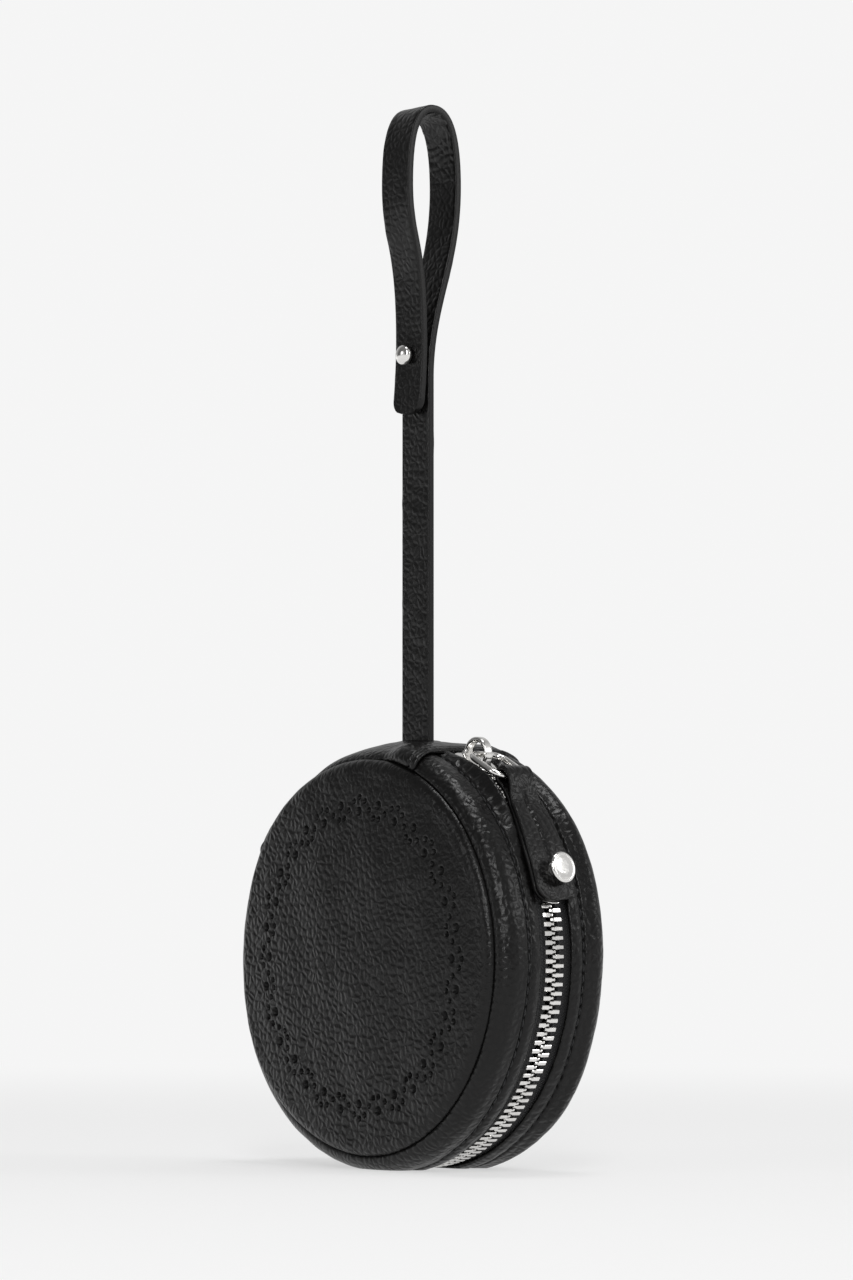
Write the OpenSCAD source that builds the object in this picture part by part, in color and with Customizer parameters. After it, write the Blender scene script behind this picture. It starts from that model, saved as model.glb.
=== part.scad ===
// Round leather coin purse that stands on its rim: two domed panels, a gusset in two bands with a
// metal zip between them, a leather hinge gusset, a zip pull and a buttoned wrist strap.
// Millimetres, +Z up, the front panel faces -Y, the floor is Z = 0.
// Clock angles are seen from the front: 0 is the top and 90 the right-hand side.

/* [Body] */
// Diameter over the gusset bands
body_d = 110; // [100:1:132]
// Distance between the two panel seams
seam_w = 32.4; // [27:0.2:40]
// Thickness of the outer leather
leather_t = 1.2; // [1:0.05:1.45]
// Step from the gusset band in to the panel's rim
panel_step = 3; // [2.8:0.1:3.6]
// Rounding of a panel's rim
rim_round = 2.4; // [2:0.1:2.9]
// Rise of a panel's dome over its rim
dome_h = 2.2; // [1.6:0.1:3]
// Rounding of the gusset's shoulders
shoulder_r = 2.6; // [2.2:0.1:2.75]
// Depth of the flat that the purse stands on
foot_flat = 0.7; // [0.5:0.05:0.75]
// Thickness of the stiffening board in a panel
board_t = 1; // [0.8:0.1:1.3]
// Thickness of the lining cloth
lining_t = 0.6; // [0.4:0.1:0.8]

/* [Punched border] */
// Middle radius of the border on the front panel
border_r = 38.5; // [30:0.5:42]
// Swing of the wave to each side
border_swing = 2.6; // [1:0.1:4]
// Bends outward round the ring
border_waves = 16; // [8:1:20]
// Small holes in one wave
border_holes = 7; // [5:1:8]
// Diameter of a small hole
border_hole_d = 1.3; // [0.8:0.1:1.5]
// Diameter of the hole inside each bend
border_dot_d = 2.1; // [1.4:0.1:2.4]

/* [Zip] */
// Gap between the two bands along the zip
zip_slot = 11.4; // [10.4:0.2:13]
// Width of one zip tape
tape_w = 9.7; // [8.5:0.1:11]
// Thickness of the zip tape
tape_t = 0.6; // [0.5:0.05:0.7]
// Width over both rows of teeth
chain_w = 6.2; // [5.8:0.1:6.6]
// Lane between the two rows of teeth
chain_lane = 0.9; // [0.8:0.05:1.1]
// Distance from tooth to tooth in one row
tooth_pitch = 2.3; // [2.1:0.05:2.8]
// Width of a tooth along the zip
tooth_w = 1.35; // [1:0.05:1.6]
// Height of a tooth
tooth_h = 2; // [1.8:0.05:2.1]
// Clock angle where the zip starts, at the strap's right
zip_from = 18.5; // [17:0.5:24]
// Length of the zip round the rim in degrees
zip_sweep = 285; // [270:1:290]
// How far each band and tape runs on under the hinge gusset, in degrees
tuck = 4; // [2:0.5:6]
// Length of a zip stop along the zip
stop_len = 1.54; // [1.2:0.02:1.8]

/* [Zip slider] */
// Length of the slider along the zip
slider_len = 11; // [10:0.1:12]
// Width of the slider
slider_w = 9; // [8:0.1:10]
// Thickness of the slider's plates
plate_t = 1; // [0.8:0.05:1.2]
// Thickness of the wall between the slider's plates
web_t = 0.5; // [0.4:0.05:0.6]
// Height of the crown over the slider
crown_h = 6.2; // [5.6:0.1:7.2]
// Length of the crown along the zip
crown_len = 9.2; // [8.6:0.1:10]
// Width of the crown
crown_w = 3; // [2.4:0.1:3.6]
// Thickness of the crown's arch
crown_t = 1.45; // [1.2:0.05:1.6]

/* [Zip pull] */
// Thickness of the pull ring's wire
ring_wire = 1.6; // [1.2:0.1:1.8]
// Distance between the ring's two end bars
ring_reach = 13.4; // [12:0.1:18]
// Width over the ring
ring_w = 11.6; // [9.6:0.1:12]
// Bend of the ring's corners at the wire's middle
ring_corner = 1.2; // [1:0.1:1.6]
// Length of the pull tab from the ring's bar to its tip
tab_len = 36; // [30:0.5:42]
// Width of the pull tab at the stud
tab_w = 9.8; // [9:0.1:11]
// Width of the pull tab's neck in the ring
tab_neck = 7.6; // [4:0.1:7.8]
// Thickness of the folded pull tab
tab_t = 2.8; // [2.4:0.1:3.4]
// Distance from the pull stud to the tab's tip
pull_stud_back = 7.2; // [6.5:0.1:10]
// Diameter of the pull stud's head
pull_head_d = 8; // [7:0.1:9]
// Thickness of the pull stud's head
pull_head_t = 1.1; // [0.9:0.1:1.4]
// Diameter of the pull stud's post
pull_post_d = 3.2; // [2.8:0.1:3.6]
// Bare length of the pull stud's post
pull_post_h = 2.3; // [1.8:0.1:3]
// Diameter of the pull stud's screw head
pull_screw_d = 5.6; // [5:0.1:6.4]

/* [Wrist strap] */
// Width of the strap
strap_w = 11; // [8:0.5:13]
// Thickness of the strap in two plies
strap_t = 2; // [1.6:0.1:2.4]
// Height from the strap's foot to the parting of the loop
loop_start = 92; // [70:1:110]
// Height of the loop
loop_h = 70.65; // [55:0.05:85]
// Reach of the loop towards the back, at the strap's middle
loop_back = 8; // [6:0.5:12]
// Reach of the loop towards the front, at the strap's middle
loop_front = 5.7; // [4:0.1:9]
// Length of tail under the parting of the loop
tail_drop = 7.5; // [6:0.5:12]
// Rounding of the tail's two corners
tail_corner = 3.6; // [2:0.1:4]
// Height of the strap stud over the parting of the loop
strap_stud_up = 7.5; // [5:0.5:9]
// Diameter of the strap stud's head
strap_head_d = 4.8; // [4.2:0.1:5.6]
// Thickness of the strap stud's head
strap_head_t = 2.6; // [1.6:0.1:3]
// Diameter of the strap stud's post
strap_post_d = 2.4; // [2.2:0.1:2.8]
// Diameter of the strap stud's screw head
strap_screw_d = 4.4; // [4:0.1:5]
// Length of the slit at the tail's button hole
slit_len = 4; // [2:0.5:6]
// Length of the strap anchor's feet inside the purse, to each side
anchor_foot = 8; // [5:0.5:10]

/* [Clearances] */
// Gap between glued or sewn layers
ply_gap = 0.05; // [0.02:0.01:0.08]
// Gap between pieces that move on each other
run_gap = 0.3; // [0.2:0.05:0.35]
// Gap between the ends of pieces along the rim
end_gap = 0.9; // [0.6:0.05:0.95]
// Gap of a pin or post in its hole
pin_gap = 0.1; // [0.05:0.05:0.15]

/* [Hidden] */
$fn = 64;

leather = "#2b2a2b";
cloth = "#55504a";
board = "#8a8072";
tape = "#1d1d1f";
metal = "#c9ccd0";

// Radii and depths of the body
rad = body_d / 2;
zc = rad - foot_flat;
seam_y = seam_w / 2;
panel_r = rad - panel_step;
rim_r = panel_r - rim_round;
dome_top = seam_y + rim_round + dome_h;
dome_r = (pow(rim_r, 2) + pow(dome_h, 2)) / (2 * dome_h);
dome_c = dome_top - dome_r;
shoulder_c = rad - shoulder_r;
band_top = seam_y - ply_gap;
shoulder_y = band_top - shoulder_r;
band_in = rad - leather_t;
flange_in = panel_r - leather_t - 0.2;
zip_edge = zip_slot / 2;

// Radii of the zip's layers, from the band's inside inward
chain_r = rad - foot_flat - tooth_h / 2 - 0.15;
tape_out = chain_r + tape_t / 2;
tape_in = chain_r - tape_t / 2;
band_lining_out = tape_in - 2 * ply_gap;
tape_edge = chain_lane / 2 + 1.3;
tooth_in = chain_r - tooth_h / 2;
tooth_out = chain_r + tooth_h / 2;

// Clock angles
zip_to = zip_from + zip_sweep;
hinge_sweep = 360 - zip_sweep;
band_from = zip_from - tuck;
band_sweep = zip_sweep + 2 * tuck;
stop_half = atan(stop_len / 2 / rad);
end_turn = end_gap / rad * 180 / PI;
lining_from = zip_to + tuck + end_turn;
lining_sweep = hinge_sweep - 2 * (tuck + end_turn);
slider_half = atan(slider_len / 2 / rad);
slider_rest = zip_from + slider_half + end_turn;
top_stop_at = zip_from - stop_half - 0.1;
bottom_stop_at = zip_to - stop_half - 0.2;
tooth_step = tooth_pitch / chain_r * 180 / PI;
tooth_from = slider_rest - 0.45 * slider_half;
tooth_count = floor((bottom_stop_at - stop_half - tooth_from) / tooth_step - 0.6);

// Hinge gusset, laid over the band's ends
hinge_in = rad + 2 * ply_gap;
hinge_out = hinge_in + leather_t;
hinge_lining_out = hinge_in - 3 * ply_gap;

// Slider and pull, in the slider's own axes
plate_z = tooth_out + run_gap + 0.15;
crown_z = plate_z + plate_t;
sole_z = sqrt(pow(tooth_in - run_gap + 0.1, 2) - pow(slider_len / 2, 2));
crown_in = crown_len / 2 - crown_t;
crown_open = crown_h - crown_len / 2;
bar_x = crown_in - ring_wire / 2 - run_gap - 0.2;
bar_z = crown_z + crown_open + 0.8;
ring_c = (ring_w - ring_wire) / 2;
// The ring lies down until its far bar's fold rests over the zip, and the tab follows the rim from there
bar_at = [bar_z * sin(slider_rest) + bar_x * cos(slider_rest),
          bar_z * cos(slider_rest) - bar_x * sin(slider_rest)];
tab_in = hinge_out + run_gap + 0.15;
tab_mid = tab_in + tab_t / 2;
tab_out = tab_in + tab_t;
fold_r = ring_wire / 2 + pin_gap + (tab_t - pin_gap) / 2;
bar_d = norm(bar_at);
end_d = tab_in + fold_r - 0.05;
end_clock = atan2(bar_at[0], bar_at[1])
          + acos((pow(bar_d, 2) + pow(end_d, 2) - pow(ring_reach, 2)) / (2 * bar_d * end_d));
end_at = end_d * [sin(end_clock), cos(end_clock)];
ring_lift = slider_rest - atan2(bar_at[1] - end_at[1], end_at[0] - bar_at[0]);
tab_turn = (tab_len - pull_stud_back) / tab_mid * 180 / PI;
tip_turn = pull_stud_back / tab_mid * 180 / PI;
tab_at = end_clock + tab_turn;
tab_from = -end_d * sin(tab_turn);
tab_tip = tab_mid * sin(tip_turn);
pull_head_z = tab_out + pull_post_h;
screw_t = 0.8;

// Wrist strap, heights from the pin line at its foot
ply = strap_t / 2;
foot_z = zc + hinge_out + run_gap + 0.1 + ply;
tail_gap = 0.15;
tail_y = -(strap_t + tail_gap);
apex = [(loop_back - loop_front) / 2, loop_start + loop_h];
wide = loop_start + 0.72 * loop_h;
stud_z = foot_z + loop_start + strap_stud_up;
strap_path = [
  [[0, 0], [0, loop_start / 3], [0, loop_start * 2 / 3], [0, loop_start]],
  [[0, loop_start], [0, loop_start + 0.28 * loop_h], [loop_back, loop_start + 0.42 * loop_h],
   [loop_back, wide]],
  [[loop_back, wide], [loop_back, wide + 0.18 * loop_h],
   [loop_back - 0.3 * (loop_back - apex[0]), apex[1]], apex]];
tail_path = [
  [apex, [-loop_front + 0.3 * (loop_front + apex[0]), apex[1]],
   [-loop_front, wide + 0.18 * loop_h], [-loop_front, wide]],
  [[-loop_front, wide], [-loop_front, loop_start + 0.46 * loop_h],
   [tail_y, loop_start + 0.36 * loop_h], [tail_y, loop_start + 1.6 * strap_stud_up]],
  [[tail_y, loop_start + 1.6 * strap_stud_up], [tail_y, loop_start + strap_stud_up],
   [tail_y - 0.2, loop_start], [tail_y - 1.2, loop_start - tail_drop]]];
strap_head_y = -(2 * strap_t + tail_gap - ply) - run_gap - 0.3;

function bez(p, t) =
  pow(1 - t, 3) * p[0] + 3 * pow(1 - t, 2) * t * p[1] + 3 * (1 - t) * t * t * p[2] + pow(t, 3) * p[3];
function bez_dir(p, t) =
  pow(1 - t, 2) * (p[1] - p[0]) + 2 * (1 - t) * t * (p[2] - p[1]) + t * t * (p[3] - p[2]);
function left_of(v) = [-v[1], v[0]] / norm(v);
function side(path, d, n) = [
  for (s = [0 : len(path) - 1]) for (i = [s == 0 ? 0 : 1 : n])
    bez(path[s], i / n) + d * left_of(bez_dir(path[s], i / n))];
function turned(list) = [for (i = [len(list) - 1 : -1 : 0]) list[i]];

// Children drawn in (radius, depth) are swept round the purse's axis between two clock angles
module around(from, sweep) {
  translate([0, 0, zc])
    rotate([-90, 0, 0])
      rotate([0, 0, from - 90])
        rotate_extrude(angle = sweep, $fn = 180)
          children();
}

// Children drawn at the top, X along the rim and Z outward, are turned to a clock angle
module at_clock(angle) {
  translate([0, 0, zc])
    rotate([0, angle, 0])
      children();
}

// Front pieces are the back ones seen in the mirror of the purse's middle plane
module to_front() {
  mirror([0, 1, 0])
    children();
}

module above_floor() {
  difference() {
    children();
    translate([-body_d, -body_d, -body_d])
      cube([2 * body_d, 2 * body_d, body_d]);
  }
}

// Disc under a panel's domed face, lowered by i
module dome_disc(i) {
  translate([0, dome_c - i])
    circle(r = dome_r, $fn = 1440);
}

// Area under a panel's outer surface, moved in by i
module panel_area(i) {
  intersection() {
    dome_disc(i);
    translate([0, seam_y])
      square([rim_r, dome_h + rim_round + 1]);
  }
  intersection() {
    translate([rim_r, seam_y])
      circle(r = rim_round - i);
    translate([rim_r - 1, seam_y])
      square([rim_round + 2, rim_round + 1]);
  }
}

module panel_leather() {
  translate([0, 0, zc])
    rotate([-90, 0, 0])
      rotate_extrude($fn = 180)
        difference() {
          panel_area(0);
          panel_area(leather_t);
        }
}

module panel_layer(top, thick, r) {
  translate([0, 0, zc])
    rotate([-90, 0, 0])
      rotate_extrude($fn = 180)
        intersection() {
          difference() {
            dome_disc(top);
            dome_disc(top + thick);
          }
          square([r, dome_top + 1]);
        }
}

module band_area(i) {
  translate([flange_in - i, zip_edge - i])
    square([shoulder_c - flange_in + i, band_top - zip_edge]);
  translate([flange_in - i, zip_edge - i])
    square([rad - flange_in, shoulder_y - zip_edge + i]);
  translate([shoulder_c, shoulder_y])
    circle(r = shoulder_r - i);
}

module band() {
  above_floor()
    around(band_from, band_sweep) {
      difference() {
        band_area(0);
        band_area(leather_t);
      }
      translate([rad - leather_t / 2, zip_edge])
        circle(d = leather_t);
    }
}

module band_lining() {
  around(zip_from, zip_sweep)
    translate([band_lining_out - lining_t, zip_edge + 0.2])
      square([lining_t, band_top - leather_t - zip_edge - 0.6]);
}

module zip_tape() {
  around(band_from + 1, band_sweep - 2)
    translate([tape_in, tape_edge])
      square([tape_t, tape_w]);
}

// Slot that lets a clamped piece sit on the tape's edge
module tape_slot(w) {
  translate([-w, tape_edge - ply_gap, tape_in - ply_gap])
    cube([2 * w, tape_w, tape_t + 2 * ply_gap]);
}

module tooth() {
  difference() {
    translate([0, 0, tooth_in])
      linear_extrude(tooth_h)
        polygon([[-tooth_w / 2, chain_w / 2], [-tooth_w / 2, 1.5], [-0.4, chain_lane / 2],
                 [0.4, chain_lane / 2], [tooth_w / 2, 1.5], [tooth_w / 2, chain_w / 2]]);
    tape_slot(tooth_w);
  }
}

module zip_teeth(start) {
  for (i = [0 : tooth_count - 1])
    at_clock(tooth_from + (i + start) * tooth_step)
      tooth();
}

module top_stop() {
  at_clock(top_stop_at)
    difference() {
      translate([-stop_len / 2, chain_lane / 2, tooth_in])
        cube([stop_len, chain_w / 2, tooth_h]);
      tape_slot(tooth_w);
    }
}

module punched_border() {
  for (i = [0 : border_waves * border_holes - 1]) {
    a = i * 360 / (border_waves * border_holes);
    r = border_r + border_swing * cos(border_waves * a);
    translate([r * sin(a), 0, zc + r * cos(a)])
      rotate([90, 0, 0])
        cylinder(d = border_hole_d, h = dome_top + 1);
  }
  for (i = [0 : 2 * border_waves - 1]) {
    a = i * 180 / border_waves;
    r = border_r - border_swing * 0.42 * cos(border_waves * a);
    translate([r * sin(a), 0, zc + r * cos(a)])
      rotate([90, 0, 0])
        cylinder(d = border_dot_d, h = dome_top + 1);
  }
}

module hinge_area(i) {
  translate([shoulder_c - i, -shoulder_y])
    square([hinge_out - shoulder_c, 2 * shoulder_y]);
  for (s = [-1, 1])
    translate([shoulder_c, s * shoulder_y])
      circle(r = hinge_out - shoulder_c - i);
}

// Slot in the hinge gusset for the strap anchor
module strap_slot() {
  translate([-strap_w / 2 - pin_gap, -ply - pin_gap, zc + tape_in])
    cube([strap_w + 2 * pin_gap, strap_t + 2 * pin_gap, hinge_out]);
}

module stud_head(d, t) {
  rotate_extrude() {
    square([d / 2 - t / 2, t]);
    translate([d / 2 - t / 2, 0])
      intersection() {
        translate([0, t / 2])
          circle(d = t);
        square([t, t]);
      }
  }
}

// A ply of the strap between two distances to the left of its middle line
module strap_ply(path, d0, d1) {
  translate([-strap_w / 2, 0, foot_z])
    rotate([90, 0, 90])
      linear_extrude(strap_w)
        polygon(concat(side(path, d0, 14), turned(side(path, d1, 14))));
}

module strap_foot(s) {
  translate([-strap_w / 2, 0, foot_z])
    rotate([90, 0, 90])
      linear_extrude(strap_w)
        intersection() {
          circle(r = ply);
          translate([s > 0 ? ply_gap / 2 : -ply, -ply])
            square([ply - ply_gap / 2, ply]);
        }
}

module strap_stud_hole() {
  translate([0, strap_t, stud_z])
    rotate([90, 0, 0])
      cylinder(d = strap_post_d + 2 * pin_gap, h = 2 * strap_t);
  translate([0, ply + 1, stud_z])
    rotate([90, 0, 0])
      cylinder(d = strap_screw_d + 2 * pin_gap, h = 1 + screw_t - 0.2);
}

module tail_cut() {
  end_z = foot_z + loop_start - tail_drop;
  corner_x = strap_w / 2 - tail_corner;
  difference() {
    intersection() {
      children();
      union() {
        translate([-strap_w / 2, -50, end_z + tail_corner])
          cube([strap_w, 100, 2 * loop_h]);
        translate([-corner_x, -50, end_z])
          cube([2 * corner_x, 100, 2 * loop_h]);
        for (s = [-1, 1])
          translate([s * corner_x, 50, end_z + tail_corner])
            rotate([90, 0, 0])
              cylinder(r = tail_corner, h = 100);
      }
    }
    translate([0, -ply, stud_z])
      rotate([90, 0, 0])
        cylinder(d = strap_post_d + 4 * pin_gap, h = 3 * strap_t);
    translate([-run_gap, -ply - 3 * strap_t, stud_z])
      cube([2 * run_gap, 3 * strap_t, slit_len]);
  }
}

// Back half
module back_panel() {
  color(leather)
    panel_leather();
}

module back_stiffener() {
  color(board)
    panel_layer(leather_t + ply_gap, board_t, rim_r - 0.3);
}

module back_lining() {
  color(cloth)
    panel_layer(leather_t + board_t + 2 * ply_gap, lining_t, rim_r - 0.3);
}

module back_band() {
  color(leather)
    band();
}

module back_band_lining() {
  color(cloth)
    band_lining();
}

module back_zip_tape() {
  color(tape)
    zip_tape();
}

module back_zip_teeth() {
  color(metal)
    zip_teeth(0);
}

module back_top_stop() {
  color(metal)
    top_stop();
}

module zip_bottom_stop() {
  color(metal)
    at_clock(bottom_stop_at)
      difference() {
        translate([-stop_len / 2, -chain_w / 2, tooth_in])
          cube([stop_len, chain_w, tooth_h]);
        tape_slot(tooth_w);
        translate([-tooth_w, -chain_w, tape_in - run_gap])
          cube([2 * tooth_w, chain_w - chain_lane / 2, tape_t + 2 * run_gap]);
      }
}

module hinge_gusset() {
  color(leather)
    difference() {
      around(zip_to, hinge_sweep)
        intersection() {
          difference() {
            hinge_area(0);
            hinge_area(leather_t);
          }
          translate([shoulder_c, -seam_w])
            square([rad, 2 * seam_w]);
        }
      strap_slot();
    }
}

module hinge_gusset_lining() {
  color(cloth)
    difference() {
      around(lining_from, lining_sweep)
        translate([hinge_lining_out - lining_t, 0.6 - shoulder_y])
          square([lining_t, 2 * shoulder_y - 1.2]);
      strap_slot();
    }
}

module strap_anchor() {
  foot_top = sqrt(pow(hinge_lining_out - lining_t - ply_gap, 2) - pow(strap_w / 2, 2));
  color(leather) {
    translate([-strap_w / 2, -ply, zc + foot_top - leather_t])
      cube([strap_w, strap_t, foot_z - ply - run_gap / 2 - zc - foot_top + leather_t]);
    translate([-strap_w / 2, -anchor_foot, zc + foot_top - leather_t])
      cube([strap_w, 2 * anchor_foot, leather_t]);
  }
}

// Front half
module front_panel() {
  color(leather)
    difference() {
      to_front()
        panel_leather();
      punched_border();
    }
}

module front_stiffener() {
  to_front()
    back_stiffener();
}

module front_lining() {
  to_front()
    back_lining();
}

module front_band() {
  to_front()
    back_band();
}

module front_band_lining() {
  to_front()
    back_band_lining();
}

module front_zip_tape() {
  to_front()
    back_zip_tape();
}

module front_zip_teeth() {
  color(metal)
    to_front()
      zip_teeth(0.5);
}

module front_top_stop() {
  to_front()
    back_top_stop();
}

// Zip slider and pull
module slider_plan() {
  h = slider_len / 2;
  w = slider_w / 2;
  polygon([[-h, 0.8 - w], [1 - h, -w], [h - 4, -w], [h, 1.1 - w],
           [h, w - 1.1], [h - 4, w], [1 - h, w], [-h, w - 0.8]]);
}

module slider_body() {
  color(metal)
    at_clock(slider_rest) {
      translate([0, 0, plate_z])
        linear_extrude(plate_t)
          slider_plan();
      translate([0, 0, sole_z - plate_t])
        linear_extrude(plate_t)
          slider_plan();
      translate([0.8 - slider_len / 2, -web_t / 2, sole_z - plate_t / 2])
        cube([slider_len / 2, web_t, plate_z - sole_z + plate_t]);
    }
}

module slider_crown() {
  color(metal)
    at_clock(slider_rest)
      translate([0, crown_w / 2, crown_z])
        rotate([90, 0, 0])
          linear_extrude(crown_w)
            difference() {
              union() {
                translate([-crown_len / 2, 0])
                  square([crown_len, crown_open]);
                translate([0, crown_open])
                  intersection() {
                    circle(d = crown_len);
                    translate([-crown_len / 2, 0])
                      square([crown_len, crown_len]);
                  }
              }
              translate([-crown_in, -1])
                square([2 * crown_in, crown_open + 1]);
              translate([0, crown_open])
                circle(r = crown_in);
            }
}

module pull_ring() {
  straight = ring_reach - 2 * ring_corner;
  cross = 2 * (ring_c - ring_corner);
  color(metal)
    at_clock(slider_rest)
      translate([bar_x, 0, bar_z])
        rotate([0, -ring_lift, 0]) {
          for (x = [0, ring_reach])
            translate([x, cross / 2, 0])
              rotate([90, 0, 0])
                cylinder(d = ring_wire, h = cross);
          for (s = [-1, 1])
            translate([ring_corner, s * ring_c, 0])
              rotate([0, 90, 0])
                cylinder(d = ring_wire, h = straight);
          for (c = [0 : 3])
            translate([c == 1 || c == 2 ? ring_corner : ring_corner + straight,
                       (c < 2 ? 1 : -1) * cross / 2, 0])
              rotate([0, 0, 90 * c])
                rotate_extrude(angle = 90)
                  translate([ring_corner, 0])
                    circle(d = ring_wire);
        }
}

module pull_tab() {
  far = 1.5 * tab_out;
  color(leather)
    at_clock(tab_at)
      difference() {
        intersection() {
          translate([0, tab_w, 0])
            rotate([90, 0, 0])
              linear_extrude(2 * tab_w)
                difference() {
                  union() {
                    intersection() {
                      difference() {
                        circle(r = tab_out);
                        circle(r = tab_in);
                      }
                      polygon([[0, 0], far * [-sin(tab_turn), cos(tab_turn)],
                               far * [-sin(tab_turn / 2), cos(tab_turn / 2)], [0, far],
                               far * [sin(tip_turn + 4), cos(tip_turn + 4)]]);
                    }
                    translate([tab_from, end_d * cos(tab_turn)])
                      circle(r = fold_r);
                  }
                  translate([tab_from, end_d * cos(tab_turn)])
                    circle(d = ring_wire + 2 * pin_gap);
                }
          translate([0, 0, tab_in / 2])
            linear_extrude(tab_in) {
              polygon([[tab_from - 9, -tab_neck / 2], [tab_from + 1.5, -tab_neck / 2], [0, -tab_w / 2],
                       [tab_tip - tab_w / 2, -tab_w / 2], [tab_tip - tab_w / 2, tab_w / 2],
                       [0, tab_w / 2], [tab_from + 1.5, tab_neck / 2], [tab_from - 9, tab_neck / 2]]);
              translate([tab_tip - tab_w / 2, 0])
                circle(d = tab_w);
            }
        }
        translate([0, 0, tab_in - 1])
          cylinder(d = pull_post_d + 2 * pin_gap, h = tab_t + 2);
        translate([0, 0, tab_in - 1])
          cylinder(d = pull_screw_d + 2 * pin_gap, h = 1 + screw_t + pin_gap);
      }
}

module pull_stud() {
  post_z = tab_in + screw_t + pin_gap;
  color(metal)
    at_clock(tab_at)
      difference() {
        union() {
          translate([0, 0, post_z])
            cylinder(d = pull_post_d, h = pull_head_z - post_z + pull_head_t / 2);
          translate([0, 0, pull_head_z])
            stud_head(pull_head_d, pull_head_t);
        }
        translate([0, 0, post_z - 1])
          cylinder(d = pull_post_d / 2 + 2 * ply_gap, h = tab_t + 1);
      }
}

module pull_stud_screw() {
  color(metal)
    at_clock(tab_at)
      translate([0, 0, tab_in + ply_gap]) {
        cylinder(d = pull_screw_d, h = screw_t);
        cylinder(d = pull_post_d / 2, h = tab_t - 0.3);
      }
}

// Wrist strap
module strap_face() {
  color(leather)
    difference() {
      union() {
        strap_ply(strap_path, -ply, -ply_gap / 2);
        strap_foot(1);
      }
      strap_stud_hole();
    }
}

module strap_lining() {
  color(leather)
    difference() {
      union() {
        strap_ply(strap_path, ply_gap / 2, ply);
        strap_foot(-1);
      }
      strap_stud_hole();
    }
}

module strap_stud() {
  color(metal)
    translate([0, 0, stud_z])
      rotate([90, 0, 0])
        difference() {
          union() {
            translate([0, 0, screw_t - ply])
              cylinder(d = strap_post_d, h = -strap_head_y - screw_t + ply + strap_head_t / 2);
            translate([0, 0, -strap_head_y])
              stud_head(strap_head_d, strap_head_t);
          }
          translate([0, 0, -ply])
            cylinder(d = strap_post_d / 2 + 2 * ply_gap, h = 2 * strap_t);
        }
}

module strap_stud_screw() {
  color(metal)
    translate([0, ply, stud_z])
      rotate([90, 0, 0]) {
        cylinder(d = strap_screw_d, h = screw_t - 0.25);
        cylinder(d = strap_post_d / 2, h = strap_t + ply);
      }
}

module tail_face() {
  color(leather)
    tail_cut()
      strap_ply(tail_path, -ply, -ply_gap / 2);
}

module tail_lining() {
  color(leather)
    tail_cut()
      strap_ply(tail_path, ply_gap / 2, ply);
}

back_panel();
back_stiffener();
back_lining();
back_band();
back_band_lining();
back_zip_tape();
back_zip_teeth();
back_top_stop();
zip_bottom_stop();
hinge_gusset();
hinge_gusset_lining();
strap_anchor();
front_panel();
front_stiffener();
front_lining();
front_band();
front_band_lining();
front_zip_tape();
front_zip_teeth();
front_top_stop();
slider_body();
slider_crown();
pull_ring();
pull_tab();
pull_stud();
pull_stud_screw();
strap_face();
strap_lining();
strap_stud();
strap_stud_screw();
tail_face();
tail_lining();
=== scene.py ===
import math

import bmesh
import bpy
import numpy as np
from mathutils import Matrix, Vector


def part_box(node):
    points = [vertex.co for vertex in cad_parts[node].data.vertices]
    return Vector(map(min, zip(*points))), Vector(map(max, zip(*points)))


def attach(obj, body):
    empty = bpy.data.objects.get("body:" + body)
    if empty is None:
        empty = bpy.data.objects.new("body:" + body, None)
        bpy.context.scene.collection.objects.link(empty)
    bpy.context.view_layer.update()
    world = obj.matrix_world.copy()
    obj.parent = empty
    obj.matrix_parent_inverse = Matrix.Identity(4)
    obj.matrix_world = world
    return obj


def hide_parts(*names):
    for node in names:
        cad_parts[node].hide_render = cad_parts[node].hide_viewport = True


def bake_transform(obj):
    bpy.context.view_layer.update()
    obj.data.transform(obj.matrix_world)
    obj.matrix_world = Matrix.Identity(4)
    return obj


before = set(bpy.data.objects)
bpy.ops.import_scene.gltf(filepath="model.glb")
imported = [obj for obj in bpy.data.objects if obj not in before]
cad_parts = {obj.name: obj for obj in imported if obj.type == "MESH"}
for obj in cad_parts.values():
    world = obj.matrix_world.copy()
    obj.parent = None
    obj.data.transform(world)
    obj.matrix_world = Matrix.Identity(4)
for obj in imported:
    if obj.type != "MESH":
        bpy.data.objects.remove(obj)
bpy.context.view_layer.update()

bl_info = {
    "name": "Coin purse on a wrist strap",
    "version": (1, 0, 0),
    "blender": (4, 5, 0),
    "location": "3D View > Sidebar > Purse",
    "description": "Dresses the packed coin purse in leather, cloth, thread and polished metal",
    "category": "Object",
}

# Every size below is in millimetres and every clock angle in degrees, 0 at the top and 90 at the right
MM = 0.001
ALONG_X, ALONG_Y, UP = (1.0, 0.0, 0.0), (0.0, 1.0, 0.0), (0.0, 0.0, 1.0)


def span(node):
    """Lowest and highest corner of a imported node, in millimetres."""
    low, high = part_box(node)
    return np.array(low) / MM, np.array(high) / MM


# Body sizes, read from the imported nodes
panel_low, panel_high = span("back_panel")
band_low, band_high = span("back_band")
CENTRE_Z = (panel_low[2] + panel_high[2]) / 2
PANEL_R = (panel_high[0] - panel_low[0]) / 2
SEAM_Y = panel_low[1]
DOME_TOP = panel_high[1]
BODY_R = (band_high[0] - band_low[0]) / 2
BAND_EDGE = band_low[1]
HINGE_R = span("hinge_gusset")[1][2] - CENTRE_Z
HINGE_HALF, HINGE_SWEEP = 16, 76
# How far the hinge gusset's ends bow in at their middle, in degrees, and where it lies on the bands
BOW_LEFT, BOW_RIGHT = 4.3, 2.9
LAP, LAP_FADE = 6.5, 9

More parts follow.
